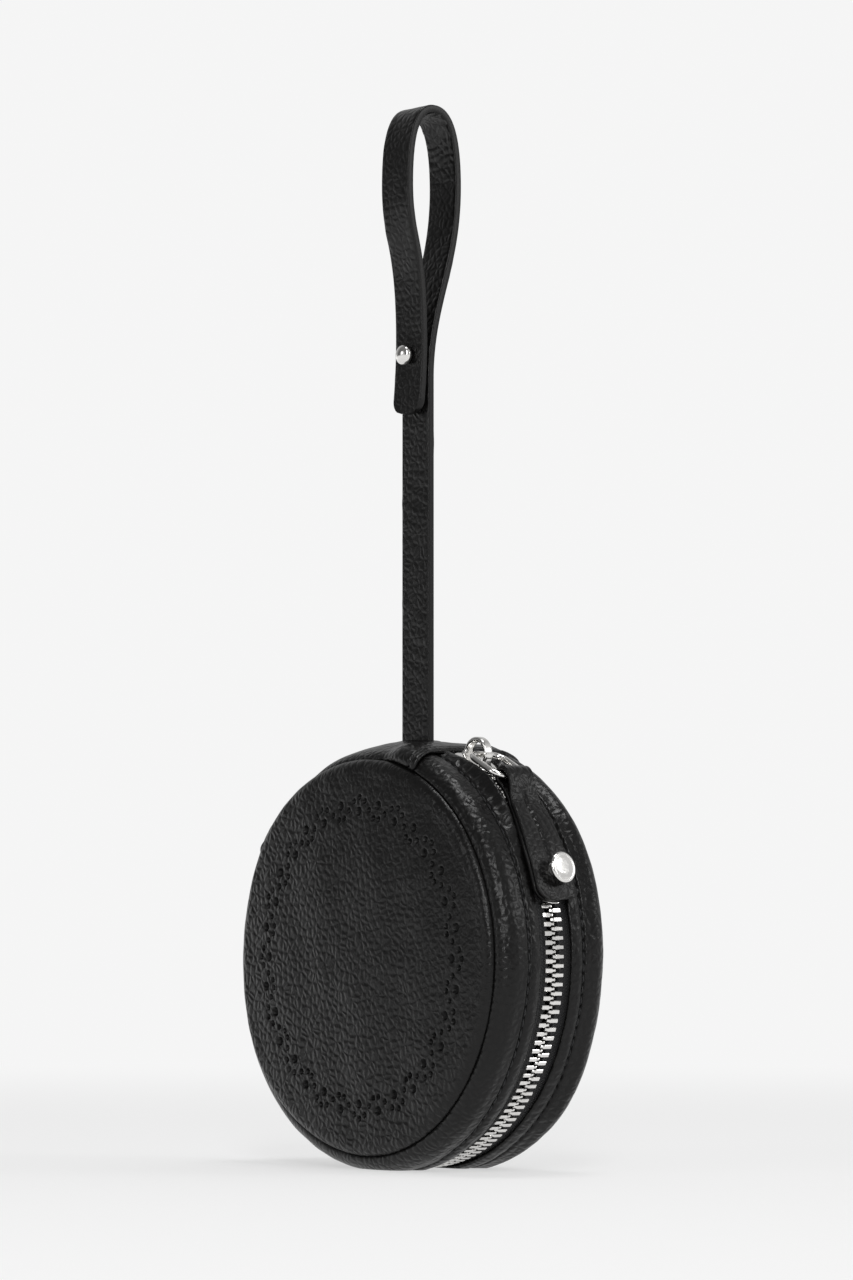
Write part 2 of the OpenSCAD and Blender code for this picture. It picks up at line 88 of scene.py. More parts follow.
# Body details that the boxes don't give
LEATHER = 1.2
BOARD = 1.0
CLOTH = 0.6
RIM_WIDE, RIM_ROUND = 3.4, 2.4
RIM_R = PANEL_R - RIM_WIDE - 1.2
RIM_Y = SEAM_Y + 0.4
DOME_H = DOME_TOP - RIM_Y - RIM_ROUND
DOME_R = (RIM_R ** 2 + DOME_H ** 2) / (2 * DOME_H)
SHOULDER_Y = 12.6
STITCH_Y = 9.0
RIDGE_Y = 7.1
ZIP_FROM, ZIP_TO = 18.5, 303.5
TUCK = 4
SEWN_FROM, SEWN_TO = ZIP_FROM + 4, ZIP_TO - 3
BAND_IN, BAND_FOLD = BODY_R - 1.25, 0.62
# Columns of a band's outline that lie on its outside
BAND_FACE = 64
CHAIN_R = 53.15
TOOTH_STEP = math.degrees(2.3 / CHAIN_R)
TOOTH_FROM = 22.5784
TOOTH_COUNT = 111

# Punched border of the front panel
BORDER_R, BORDER_SWING, BORDER_WAVES, BORDER_HOLES = 38.5, 2.6, 16, 7
HOLE_D, DOT_D = 1.3, 2.1
BORDER_IN, BORDER_OUT = 34.4, 42.6

# Zip slider and pull
SLIDER_AT = 25.1482
SLIDER_LONG, SLIDER_WIDE = 5.5, 4.5
CROWN_R, CROWN_Z = 3.875, 57.2
BAR = (1.85, 58.0)
RING_LIFT = -0.5
RING_REACH, RING_HALF, WIRE = 13.4, 5.0, 1.6
# The tab hangs from the ring's end bar and follows the rim, and its length is measured from the bar
TAB_FROM, TAB_BAR_R, TAB_R, TAB_ARC = 39.9, 59.86, 57.25, 58.15
TAB_LEN, STUD_BACK = 36.0, 8.3
TAB_T, TAB_W, TAB_NECK, TAB_FOLD = 2.4, 12.2, 8.3, 2.75
TAB_CORNER = 4.2
TAB_STUD = TAB_LEN - STUD_BACK
STUD_LEAN = 77.0
STUD_TIP, STUD_ASIDE = 3.5, 0.9

# Wrist strap, heights from its foot, and its stud's ball
FOOT_Z = 112.0
STRAP_W, STRAP_T = 11.0, 2.0
LOOP, LOOP_H, LOOP_BACK, LOOP_FRONT = 92.0, 70.65, 9.2, -6.9
APEX = ((LOOP_BACK + LOOP_FRONT) / 2, LOOP + LOOP_H)
WIDE = LOOP + 0.72 * LOOP_H
TAIL_Y = -(STRAP_T + 0.15)
STUD_UP = 6.3
TAIL_DROP = 9.0
TAIL_CORNER = 3.6
ANCHOR_R, ANCHOR_HALF = 52.6, 8
KNOB_R, KNOB_H, KNOB_OUT = 2.65, 1.8, 4.75

# Picture
PHOTO_W, PHOTO_H = 853, 1280
FOCUS_PX = 5000.0
CENTRE_PX = (418.0, 957.0)


class LeatherLook(bpy.types.PropertyGroup):
    colour: bpy.props.FloatVectorProperty(
        name="Leather colour", description="Colour of the leather's grain", subtype="COLOR",
        default=(0.0050, 0.0047, 0.0046), min=0, max=1)
    # The crease colour is painted shade: it darkens the creases between the pebbles, and the holes and stitch creases
    # more deeply
    crease_shade: bpy.props.FloatVectorProperty(
        name="Crease colour", description="Colour between the pebbles", subtype="COLOR",
        default=(0.0016, 0.0015, 0.0015), min=0, max=1)
    grain: bpy.props.FloatProperty(
        name="Grain size", description="Width of one pebble of the grain", unit="LENGTH", default=0.0022, precision=5)
    depth: bpy.props.FloatProperty(
        name="Grain depth", description="Height of a pebble over its creases", unit="LENGTH", default=0.00016,
        precision=5)


class SewingLook(bpy.types.PropertyGroup):
    pitch: bpy.props.FloatProperty(
        name="Stitch pitch", description="Distance from stitch to stitch", unit="LENGTH", default=0.0028, precision=5)
    length: bpy.props.FloatProperty(
        name="Stitch length", description="Length of one stitch", unit="LENGTH", default=0.0022, precision=5)
    thread: bpy.props.FloatProperty(
        name="Thread", description="Thickness of the thread", unit="LENGTH", default=0.0005, precision=5)
    colour: bpy.props.FloatVectorProperty(
        name="Thread colour", description="Colour of the thread", subtype="COLOR", default=(0.010, 0.010, 0.011),
        min=0, max=1)


class ClothLook(bpy.types.PropertyGroup):
    lining: bpy.props.FloatVectorProperty(
        name="Lining colour", description="Colour of the lining cloth", subtype="COLOR", default=(0.075, 0.068, 0.060),
        min=0, max=1)
    tape: bpy.props.FloatVectorProperty(
        name="Tape colour", description="Colour of the zip tape", subtype="COLOR", default=(0.009, 0.009, 0.010),
        min=0, max=1)
    board: bpy.props.FloatVectorProperty(
        name="Board colour", description="Colour of the stiffening board", subtype="COLOR",
        default=(0.25, 0.21, 0.16), min=0, max=1)


class MetalLook(bpy.types.PropertyGroup):
    colour: bpy.props.FloatVectorProperty(
        name="Metal colour", description="Colour of the polished metal", subtype="COLOR",
        default=(0.80, 0.79, 0.77), min=0, max=1)
    roughness: bpy.props.FloatProperty(
        name="Metal roughness", description="Blur of the metal's reflections", subtype="FACTOR", default=0.16, min=0,
        max=1)


class StageLook(bpy.types.PropertyGroup):
    azimuth: bpy.props.FloatProperty(
        name="Camera azimuth", description="Camera's turn from the front to the right", subtype="ANGLE",
        default=math.radians(50.8))
    elevation: bpy.props.FloatProperty(
        name="Camera elevation", description="Camera's height angle over the purse's middle", subtype="ANGLE",
        default=math.radians(0.5))
    distance: bpy.props.FloatProperty(
        name="Camera distance", description="Distance from the purse's middle", unit="LENGTH", default=1.295)
    backdrop: bpy.props.FloatVectorProperty(
        name="Backdrop", description="Colour of the backdrop and of the far floor", subtype="COLOR",
        default=(0.915, 0.915, 0.915), min=0, max=1)
    light: bpy.props.FloatProperty(
        name="Light", description="Strength of the soft boxes", subtype="FACTOR", default=1.0, min=0, max=10)


class Wire:
    """An output socket of a material. Operators between wires and numbers add Math nodes."""

    def __init__(self, socket):
        self.socket = socket

    def node(self, kind, settings, values, out=0):
        """Adds a node, sets it up, fills or links its inputs and returns one of its outputs."""
        tree = self.socket.id_data
        made = tree.nodes.new("ShaderNode" + kind)
        for key, value in settings.items():
            setattr(made, key, value)
        for key, value in values.items():
            if isinstance(value, Wire):
                tree.links.new(value.socket, made.inputs[key])
            else:
                made.inputs[key].default_value = value
        return Wire(made.outputs[out])

    def math(self, operation, *values):
        return self.node("Math", {"operation": operation}, dict(enumerate(values)))

    def __add__(self, other):
        return self.math("ADD", self, other)

    def __mul__(self, other):
        return self.math("MULTIPLY", self, other)

    def __rsub__(self, other):
        return self.math("SUBTRACT", other, self)

    __radd__ = __add__
    __rmul__ = __mul__

    def step(self, low, high):
        """0 below low, 1 above high and a smooth rise between them."""
        return self.node("MapRange", {"interpolation_type": "SMOOTHSTEP"},
                         {"Value": self, "From Min": low, "From Max": high})

    def noise(self, size, detail=2.0, out=0):
        """Noise with features of a size in metres, about 0.5 on average."""
        return self.node("TexNoise", {}, {"Vector": self, "Scale": 1 / size, "Detail": detail}, out)

    def mark(self, name, out="Fac"):
        """A value stored on the piece's points, 0 where the piece has none."""
        return self.node("Attribute", {"attribute_name": name}, {}, out)

    def mix(self, low, high):
        """Colour between low and high by this value."""
        return self.node("Mix", {"data_type": "RGBA"}, {0: self, 6: low, 7: high}, 2)

    def dot(self, way):
        """How far this vector reaches along way."""
        return self.node("VectorMath", {"operation": "DOT_PRODUCT"}, {0: self, 1: way}, "Value")

    def bump(self, strength, distance):
        """Normal of a surface that this height raises, by distance in metres where it is 1."""
        return self.node("Bump", {}, {"Height": self, "Strength": strength, "Distance": distance}, "Normal")


def finish(name, build, constants):
    """The material of that name. build takes the Object coordinates and gives the linked sockets."""
    known = bpy.data.materials.get(name)
    if known:
        return known
    made = bpy.data.materials.new(name)
    made.use_nodes = True
    tree = made.node_tree
    shader = tree.nodes["Principled BSDF"]
    for key, value in constants.items():
        shader.inputs[key].default_value = value
    place = Wire(tree.nodes.new("ShaderNodeTexCoord").outputs["Object"])
    for key, wire in build(place).items():
        tree.links.new(wire.socket, shader.inputs[key])
    return made


def rgb(colour, share=1.0):
    return tuple(share * c for c in colour) + (1.0,)


def leather(name, scale=1.0, depth=1.0, flatten=0.0):
    """Pebbled leather on the mark cloth: cells with rounded tops, finer cells and a slow change over the hide, and
    painted shade in the creases between the cells. The mark paint smooths it to edge paint, the hole and stitch crease
    mark paints shade into holes and along stitch creases, and flatten presses the grain towards the upper right of the
    purse, where the hide is stretched."""
    look = bpy.context.scene.purse_leather
    size = look.grain * scale

    def build(place):
        drift = place.noise(size * 2.2, 1.0, "Color")
        cloth = place.mark("cloth", "Vector")
        bent = place.node("VectorMath", {"operation": "MULTIPLY_ADD"}, {0: drift, 1: (size * 0.8,) * 3, 2: cloth})
        kind = {"feature": "DISTANCE_TO_EDGE", "voronoi_dimensions": "2D"}
        hide = place.noise(0.022, 2.0)
        cell = bent.node("TexVoronoi", kind, {"Vector": bent, "Scale": 1 / size})
        fine = bent.node("TexVoronoi", kind, {"Vector": bent, "Scale": 2.3 / size})
        pebble, crumb = cell.step(0.0, 0.42), fine.step(0.0, 0.40)
        slope = place.dot((0.7, 0.0, 0.7))
        loose = 1.3 - flatten * slope.step(-0.02, 0.09)
        paint, punch = place.mark("paint"), place.mark("punch")
        bare = 1 - paint
        height = (pebble * loose * (0.5 + 0.9 * hide) + crumb * 0.14 + place.noise(0.0008, 2.0) * 0.06) * bare
        normal = height.bump(1.0, look.depth * depth)
        # Colour: painted shade in the creases between the pebbles and finer cells, a random tone over the hide and the
        # edge paint's own tone
        tone_and_shade = (pebble * 0.5 + crumb * 0.2 + hide * 0.3) * bare + paint * 0.55
        # Holes and stitch creases get painted shade, darker than the creases between the pebbles
        colour = punch.mix(tone_and_shade.mix(rgb(look.crease_shade), rgb(look.colour)), rgb(look.crease_shade, 0.3))
        rough = 0.30 - 0.04 * pebble * bare + 0.08 * hide + 0.4 * punch
        return {"Base Color": colour, "Roughness": rough, "Normal": normal}

    return finish(name, build, {"Specular IOR Level": 0.28})


def metal(name="polished_nickel", more=0.0):
    """Polished plated metal with a faint cloudiness and fine handling marks."""
    look = bpy.context.scene.purse_metal

    def build(place):
        cloud, fine = place.noise(0.003, 2.0), place.noise(0.0003, 2.0)
        normal = fine.bump(0.06, 0.00004)
        colour = cloud.mix(rgb(look.colour, 0.94), rgb(look.colour, 1.04))
        return {"Base Color": colour, "Roughness": look.roughness + more - 0.05 + cloud * 0.10, "Normal": normal}

    return finish(name, build, {"Metallic": 1.0})


def woven(name, colour, thread, twill, rough):
    """Cloth on the mark cloth, whose x runs along and y across in metres: two sets of threads cross at right
    angles, and twill slants them."""
    turn = 2 * math.pi / thread

    def build(place):
        cloth = place.mark("cloth", "Vector")
        split = cloth.node("SeparateXYZ", {}, {0: cloth}, "X")
        across = Wire(split.socket.node.outputs["Y"])
        warp = split.math("SINE", (split + across * twill) * turn)
        weft = across.math("SINE", across * turn)
        height = warp * 0.5 + weft * 0.35 + place.noise(thread * 0.6, 2.0)
        normal = height.bump(0.7, thread * 0.22)
        # Colour follows the weave's height: painted shade where the threads dip, with a random tone from the noise
        tone_and_shade = (height * 0.5 + 0.3).mix(rgb(colour, 0.62), rgb(colour, 1.15))
        return {"Base Color": tone_and_shade, "Roughness": rough + 0.06 * weft, "Normal": normal}

    return finish(name, build, {"Specular IOR Level": 0.3, "Sheen Weight": 0.12})


def lining_cloth():
    return woven("lining_cotton", bpy.context.scene.purse_cloth.lining, 0.00075, 0.0, 0.85)


def tape_cloth():
    return woven("zip_tape_twill", bpy.context.scene.purse_cloth.tape, 0.0009, 0.7, 0.75)


def thread_finish():
    """Twisted thread: a fine slanted ripple along each stitch."""
    look = bpy.context.scene.purse_sewing

    def build(place):
        ply = place.node("TexWave", {"wave_type": "BANDS", "bands_direction": "DIAGONAL"},
                         {"Vector": place, "Scale": 900.0, "Distortion": 1.5})
        fuzz = place.noise(0.00015, 2.0)
        height = fuzz * 0.5 + ply.node("RGBToBW", {}, {0: ply})
        normal = height.bump(0.5, 0.00005)
        return {"Base Color": fuzz.mix(rgb(look.colour, 0.6), rgb(look.colour, 1.5)), "Roughness": 0.5 + 0.2 * fuzz,
                "Normal": normal}

    return finish("waxed_thread", build, {"Specular IOR Level": 0.4})


def board_finish():
    """Pressed fibre board with short flecks."""
    colour = bpy.context.scene.purse_cloth.board

    def build(place):
        fleck, pulp = place.noise(0.0006, 3.0), place.noise(0.006, 3.0)
        normal = fleck.bump(0.4, 0.0001)
        return {"Base Color": (fleck * 0.7 + pulp * 0.3).mix(rgb(colour, 0.7), rgb(colour, 1.25)),
                "Roughness": 0.8 + 0.1 * pulp, "Normal": normal}

    return finish("fibre_board", build, {})


class Shape:
    """Points and faces of a piece, gathered shell by shell, in millimetres."""

    def __init__(self):
        self.points, self.faces, self.marks, self.count = [], [], [], 0

    def add(self, points, loop=False, caps=True, **marks):
        """Adds a grid of points (rows, columns, 3), or several (copies, rows, columns, 3). Neighbours make quads,
        the columns close into a ring, loop closes the rows too, and caps close the first and last ring."""
        points = points.reshape((-1,) + points.shape[-3:])
        copies, rows, cols = points.shape[:3]
        i, j = np.meshgrid(np.arange(rows - (not loop)), np.arange(cols), indexing="ij")

        def at(a, b):
            return a % rows * cols + b % cols

        quads = np.stack([at(i, j), at(i, j + 1), at(i + 1, j + 1), at(i + 1, j)], -1).reshape(-1, 4)
        shift = self.count + rows * cols * np.arange(copies)[:, None, None]
        self.faces += (quads + shift).reshape(-1, 4).tolist()
        if caps and not loop:
            ends = np.stack([np.arange(cols)[::-1], np.arange(cols) + (rows - 1) * cols])
            self.faces += (ends + shift).reshape(-1, cols).tolist()
        self.points.append(points.reshape(-1, 3))
        self.marks.append({key: np.broadcast_to(value, points.shape[:3] + np.shape(value)[2:]).reshape(
            (-1,) + np.shape(value)[2:]) for key, value in marks.items()})
        self.count += copies * rows * cols
        return self

    def make(self, name, coat, slot, body=None, nodes=(), sharp=50.0):
        """Makes the piece: merges poles, turns faces outward, smooths its shading, hides the imported nodes it replaces
        and hangs it on its body's empty.
        """
        mesh = bpy.data.meshes.new(name)
        mesh.from_pydata((np.concatenate(self.points) * MM).tolist(), [], self.faces)
        for key in sorted({k for m in self.marks for k in m}):
            values = np.concatenate([m.get(key, np.zeros(len(p))) for m, p in zip(self.marks, self.points)])
            vector = values.ndim > 1
            layer = mesh.attributes.new(key, "FLOAT_VECTOR" if vector else "FLOAT", "POINT")
            layer.data.foreach_set("vector" if vector else "value", values.astype(np.float32).ravel())
        work = bmesh.new()
        work.from_mesh(mesh)
        bmesh.ops.remove_doubles(work, verts=work.verts, dist=1e-7)
        bmesh.ops.recalc_face_normals(work, faces=work.faces)
        work.to_mesh(mesh)
        work.free()
        mesh.polygons.foreach_set("use_smooth", np.ones(len(mesh.polygons), bool))
        mesh.set_sharp_from_angle(angle=math.radians(sharp))
        mesh.materials.append(coat)
        piece = bpy.data.objects.new(name, mesh)
        bpy.context.scene.collection.objects.link(piece)
        if nodes:
            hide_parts(*nodes)
        if body:
            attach(piece, body)
        return piece


def rim(radius, depth, clock):
    """Point at a radius and depth in the purse, turned to a clock angle: x = r sin a, y = depth and
    z = centre + r cos a."""
    radius, depth, turn = np.broadcast_arrays(radius, depth, np.radians(clock))
    return np.stack([radius * np.sin(turn), depth, CENTRE_Z + radius * np.cos(turn)], -1)


def at_clock(points, clock):
    """Points with x along the rim, y in depth and z outward, turned from the top to a clock angle."""
    turn = math.radians(clock)
    x, y, z = np.moveaxis(points, -1, 0)
    return np.stack([x * math.cos(turn) + z * math.sin(turn), y,
                     CENTRE_Z + z * math.cos(turn) - x * math.sin(turn)], -1)


def wander(points, size, seed):
    """Smooth unevenness, mostly between -1 and 1: a sum of sine waves about size long in fixed directions."""
    rng = np.random.default_rng(seed)
    ways = rng.normal(size=(9, 3))
    ways *= 2 * math.pi / size * rng.uniform(0.7, 1.4, (9, 1)) / np.linalg.norm(ways, axis=1, keepdims=True)
    return np.sin(points @ ways.T + rng.uniform(0, 2 * math.pi, 9)).sum(-1) / 4.2


def unit(ways):
    """Directions brought to length 1."""
    return ways / np.linalg.norm(ways, axis=-1, keepdims=True)


def repaint(names, coat):
    """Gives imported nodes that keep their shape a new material."""
    for name in names:
        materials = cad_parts[name].data.materials
        materials.clear()
        materials.append(coat)


def smooth(value):
    """Smooth rise from 0 at 0 to 1 at 1: 3 v^2 - 2 v^3."""
    v = np.clip(value, 0, 1)
    return v * v * (3 - 2 * v)


def hump(value, middle, width):
    """Bell of height 1 at middle: exp(-((v - middle) / width)^2)."""
    return np.exp(-((value - middle) / width) ** 2)


def bezier(knots, count=160):
    """Points of a cubic Bezier curve."""
    t = np.linspace(0, 1, count)[:, None]
    a, b, c, d = np.array(knots, float)
    return (1 - t) ** 3 * a + 3 * (1 - t) ** 2 * t * b + 3 * (1 - t) * t * t * c + t ** 3 * d


def track(path):
    """Length along a polyline at each of its points."""
    return np.r_[0, np.cumsum(np.linalg.norm(np.diff(path, axis=0), axis=1))]


def cloth_map(along, across):
    """Places on a piece's cloth, in metres: x along its rows and y across its columns."""
    along = np.asarray(along)[:, None]
    return np.stack(np.broadcast_arrays(along, across, 0.0), -1) * MM


def even(path, step):
    """A polyline cut at even lengths, and the length at each cut."""
    run = track(path)
    cuts = np.linspace(0, run[-1], int(round(run[-1] / step)) + 1)
    return np.stack([np.interp(cuts, run, p) for p in path.T], -1), cuts


def ribbon_frame(faces, bend):
    """Columns of a rounded rectangle: which side they stand on and how far they turn round its corners."""
    turn = np.radians(np.linspace(8, 82, bend))
    flat = np.linspace(1, -1, faces + 2)[1:-1]
    one, none = np.ones(bend), np.zeros(faces)
    side = np.concatenate([one, flat, -one, [-1], -one, -flat, one, [1]])
    out = np.concatenate([np.cos(turn), none, -np.cos(turn[::-1]), [-1], -np.cos(turn), none, np.cos(turn[::-1]), [1]])
    level = np.concatenate([one, none + 1, one, [0], -one, none - 1, -one, [0]])
    up = np.concatenate([np.sin(turn), none + 1, np.sin(turn[::-1]), [0], -np.sin(turn), none - 1, -np.sin(turn[::-1]),
                         [0]])
    return side, out, level, up


def ribbon(path, normal, across, width, thick, corner, puff=None, faces=11, bend=4, groove=0.1):
    """A rounded rectangle carried along a path: point = path + across x + normal z, where x and z run round the
    rectangle, puff(x, up) lifts its two faces and groove parts the plies at the edges. Gives points and marks."""
    side, out, level, up = ribbon_frame(faces, bend)
    normal, across = np.broadcast_to(normal, path.shape), np.broadcast_to(across, path.shape)
    width = np.broadcast_to(width, len(path))[:, None]
    thick = np.broadcast_to(thick, len(path))[:, None]
    bevel = np.minimum(corner, 0.45 * width)
    x = side * (width / 2 - bevel) + out * bevel - np.where(level == 0, groove, 0) * np.sign(out) * np.ones_like(width)
    z = level * (thick / 2 - np.minimum(corner, 0.5 * thick)) + up * np.minimum(corner, 0.5 * thick)
    if puff is not None:
        z = z + up * puff(x, up)
    points = path[:, None] + across[:, None] * x[..., None] + normal[:, None] * z[..., None]
    paint = np.broadcast_to(smooth((np.abs(out) - 0.25) / 0.5), x.shape)
    return points, {"paint": paint, "cloth": cloth_map(track(path), x)}


def lathe(profile, columns=40):
    """Profile of (radius, height) turned about the z axis."""
    turn = np.linspace(0, 2 * math.pi, columns, endpoint=False)
    r, h = np.array(profile, float).T
    r, h = r[:, None], h[:, None]
    return np.stack(np.broadcast_arrays(r * np.cos(turn), r * np.sin(turn), h), -1)


def stitch_shape():
    """One stitch along x: a thread that rises between its two holes."""
    look = bpy.context.scene.purse_sewing
    half, thick = look.length / MM / 2, look.thread / MM / 2
    x = np.linspace(-1, 1, 6)
    turn = np.linspace(0, 2 * math.pi, 6, endpoint=False)
    size = thick * (1 - 0.75 * x ** 4)
    return np.stack([np.broadcast_to(half * x[:, None], (6, 6)), size[:, None] * np.cos(turn),
                     size[:, None] * np.sin(turn) + 0.16 * (1 - x[:, None] ** 2) - 0.10], -1)


def place_copies(shape, along, side, out, origins):
    """Copies of a shape with x along, y side and z out at each origin."""
    axes = np.stack([along, side, out], 1)
    return np.einsum("rci,nij->nrcj", shape, axes) + origins[:, None, None]


def round_the_rim(shape, radius, depth, clocks):
    """Copies of a shape round the purse with x along the rim, y in depth and z outward."""
    turn = np.radians(clocks)
    zero = np.zeros_like(turn)
    along = np.stack([np.cos(turn), zero, -np.sin(turn)], -1)
    out = np.stack([np.sin(turn), zero, np.cos(turn)], -1)
    side = np.broadcast_to(ALONG_Y, along.shape)
    return place_copies(shape, along, side, out, rim(radius, depth, clocks))


def swept(radius, depth, clocks):
    """A closed outline of (radius, depth) carried round the purse."""
    return rim(radius[None], depth[None], clocks[:, None])


def dome(radius):
    """Depth of a panel's outer face: a sphere cap of radius DOME_R."""
    return DOME_TOP - DOME_R + np.sqrt(DOME_R ** 2 - np.asarray(radius, float) ** 2)


def punch_depth(points):
    """For each point: 1 inside a hole of the punched border and 0 outside it, and how near its lip is, 1 to 0."""
    waves = 2 * math.pi / BORDER_WAVES
    a = np.arange(BORDER_WAVES * BORDER_HOLES) * waves / BORDER_HOLES
    b = np.arange(2 * BORDER_WAVES) * waves / 2
    radius = np.r_[BORDER_R + BORDER_SWING * np.cos(BORDER_WAVES * a),
                   BORDER_R - 0.42 * BORDER_SWING * np.cos(BORDER_WAVES * b)]
    turn = np.r_[a, b]
    size = np.r_[np.full(len(a), HOLE_D / 2), np.full(len(b), DOT_D / 2)]
    x, z = radius * np.sin(turn), CENTRE_Z + radius * np.cos(turn)
    far = np.hypot(points[..., 0, None] - x, points[..., 2, None] - z) - size
    near = far.min(-1)
    return smooth(0.5 - near / 0.3), hump(np.maximum(near, 0), 0, 0.45)


class PURSE_OT_panels(bpy.types.Operator):
    """Domed front and back panels of pebbled leather, the front one with its punched border."""
    bl_idname = "purse.panels"
    bl_label = "Panels"

    def execute(self, context):
        hide = leather("panel_leather", flatten=0.9)
        inner = np.array([49.0, 44.0, 30.0, 14.0, 0.0]) * RIM_R / 49.6
        turn = np.radians(np.linspace(84, -45, 17))
        for name, way, columns, seed in (("front_panel", -1, 896, 3), ("back_panel", 1, 300, 5)):
            border = np.linspace(BORDER_IN, BORDER_OUT, 33 if way < 0 else 7)
            flat = np.r_[np.linspace(0, BORDER_IN, 26)[:-1], border, np.linspace(BORDER_OUT, RIM_R - 0.3, 9)[1:]]
            radius = np.r_[flat, RIM_R + RIM_WIDE * np.cos(turn), RIM_R + 1.4, RIM_R + 1.0, inner]
            depth = np.r_[dome(flat), RIM_Y + RIM_ROUND * np.sin(turn), RIM_Y - 1.5, RIM_Y + 0.4,
                          dome(inner) - LEATHER]
            clocks = np.linspace(0, 360, columns, endpoint=False)
            bulge = (1.9 * hump(clocks, 240, 26) + 1.5 * hump(clocks, 312, 26)) * (way < 0)
            slack = smooth((radius - 38) / 9)[:, None] * bulge
            points = rim(radius[:, None] + slack, way * depth[:, None], clocks[None])
            outer = (np.arange(len(radius)) < len(flat) + len(turn))[:, None]
            pucker = hump(radius, RIM_R + 1, 3.2)[:, None] * outer
            swell = 0.17 * wander(points, 26, seed) + 0.07 * wander(points, 11, seed + 1)
            fade = smooth((RIM_R + 3 - radius) / 6)[:, None]
            lift = swell * outer * fade + 0.10 * pucker * wander(points, 7, seed + 2)
            # Painted shade inside each hole of the punched border, carried by the hole mark
            punch = np.zeros(points.shape[:2])
            if way < 0:
                rows = np.flatnonzero(outer[:, 0] & (radius > 33) & (radius < 44))
                hole, lip = punch_depth(points[rows])
                punch[rows] = hole
                lift[rows] -= 1.05 * hole + 0.07 * lip
            points[..., 1] += way * lift
            x, z = points[..., 0], points[..., 2]
            weave = np.stack([0.8 * x + 0.6 * z, 0.8 * z - 0.6 * x, 0 * x], -1) * MM
            shape = Shape().add(points, caps=False, punch=punch, cloth=weave)
            shape.make(name + "_leather", hide, "leather", name.split("_")[0] + "_half", [name])
        return {"FINISHED"}


def band_outline():
    """Closed outline of a gusset band: shoulder out of the seam, flat with stitch groove and padded fold, inside."""
    shoulder = bezier([(50.4, 15.6), (50.6, 18.9), (54.4, 16.2), (BODY_R, SHOULDER_Y)], 24)
    flat = np.linspace(SHOULDER_Y - 0.2, BAND_EDGE + 0.8, 36)
    fold = np.radians(np.linspace(15, 165, 9))
    inner = bezier([(BAND_IN, SHOULDER_Y), (53.6, 14.8), (51.6, 16.0), (50.8, 14.4)], 6)
    radius = np.r_[shoulder[:, 0], BODY_R + 0.34 * hump(flat, RIDGE_Y, 1.15) - 0.60 * hump(flat, STITCH_Y, 0.4),
                   BODY_R - 0.55 + BAND_FOLD * np.cos(fold), np.full(5, BAND_IN), inner[:, 0]]
    depth = np.r_[shoulder[:, 1], flat, BAND_EDGE + BAND_FOLD - BAND_FOLD * np.sin(fold),
                  np.linspace(BAND_EDGE + 0.9, SHOULDER_Y - 0.8, 5), inner[:, 1]]
    return radius, depth


def stitch_clocks(start, stop, radius):
    """Clock angles of the stitches between two angles."""
    step = math.degrees(bpy.context.scene.purse_sewing.pitch / MM / radius)
    return np.arange(start, stop, step)


class PURSE_OT_bands(bpy.types.Operator):
    """The two gusset bands with their rolled shoulders, and the row of stitches beside the zip on each."""
    bl_idname = "purse.bands"
    bl_label = "Gusset bands"

    def execute(self, context):
        hide = leather("gusset_leather", 1.0, 0.5)
        thread = thread_finish()
        radius, depth = band_outline()
        clocks = np.linspace(ZIP_FROM - TUCK, ZIP_TO + TUCK, 760)[:, None]
        weave = cloth_map(np.radians(clocks[:, 0]) * BODY_R, track(np.stack([radius, depth], -1)))
        pitch = math.degrees(context.scene.purse_sewing.pitch / MM / BODY_R)
        for name, way, seed in (("front", -1, 11), ("back", 1, 17)):
            rough = rim(radius, way * depth, clocks)
            outer = (np.arange(len(radius)) < BAND_FACE) * smooth((radius - 50.2) / 2)
            if way > 0:
                round_off = 0.6 + 1.6 * hump(clocks, 58, 28) + 1.5 * hump(clocks, 132, 22)
            else:
                round_off = 1.5 * hump(clocks, 234, 28)
            roll = hump(depth, SHOULDER_Y + 1.5, 4.0) * round_off
            # The fold beside the zip gathers where the zip bends away under the slider
            tight = hump(clocks, 39, 17)
            gather = hump(depth, RIDGE_Y, 1.7) * wander(rough * [1, 0.35, 1], 3.2, seed + 2)
            ridge = tight * (3.0 * hump(depth, 5.6, 1.5) if way < 0 else 1.15 * hump(depth, RIDGE_Y + 0.2, 1.7))
            hole = 0.5 + 0.5 * np.cos(2 * math.pi * (clocks - SEWN_FROM) / pitch + math.pi)
            row = hump(depth, STITCH_Y, 0.28) * outer
            lift = outer * (0.10 * wander(rough, 17, seed) + 0.06 * wander(rough, 5.5, seed + 1) + roll + ridge
                            + (0.08 + 0.34 * tight) * gather) - 0.30 * row * hole - hinge_dip(depth, clocks)
            points = rim(radius + lift, way * np.broadcast_to(depth, lift.shape), clocks)
            points[..., 2] = np.maximum(points[..., 2], 0.02)
            # Painted shade along the stitch crease, darkest at the stitch holes
            Shape().add(points, punch=row * (0.35 + 0.65 * hole ** 2), cloth=weave).make(
                name + "_band_leather", hide, "leather", name + "_half", [name + "_band"])
            spots = stitch_clocks(SEWN_FROM, SEWN_TO, BODY_R)
            made = round_the_rim(stitch_shape(), BODY_R - 0.26, way * STITCH_Y, spots)
            made[..., 2] = np.maximum(made[..., 2], 0.02)
            Shape().add(made).make(name + "_band_stitches", thread, "zip_tape", name + "_half")
        return {"FINISHED"}


def hinge_crown(depth):
    """Radius of the hinge gusset between the bands: an arc that falls off by depth squared over 75."""
    return HINGE_R - 0.4 - np.asarray(depth) ** 2 / 75


def hinge_dip(depth, clocks):
    """How far the rim sinks at its outer sides towards the hinge's left end."""
    return 1.4 * smooth((np.abs(depth) - 6) / 6) * smooth((clocks - 286) / 14) * smooth((332 - clocks) / 16)


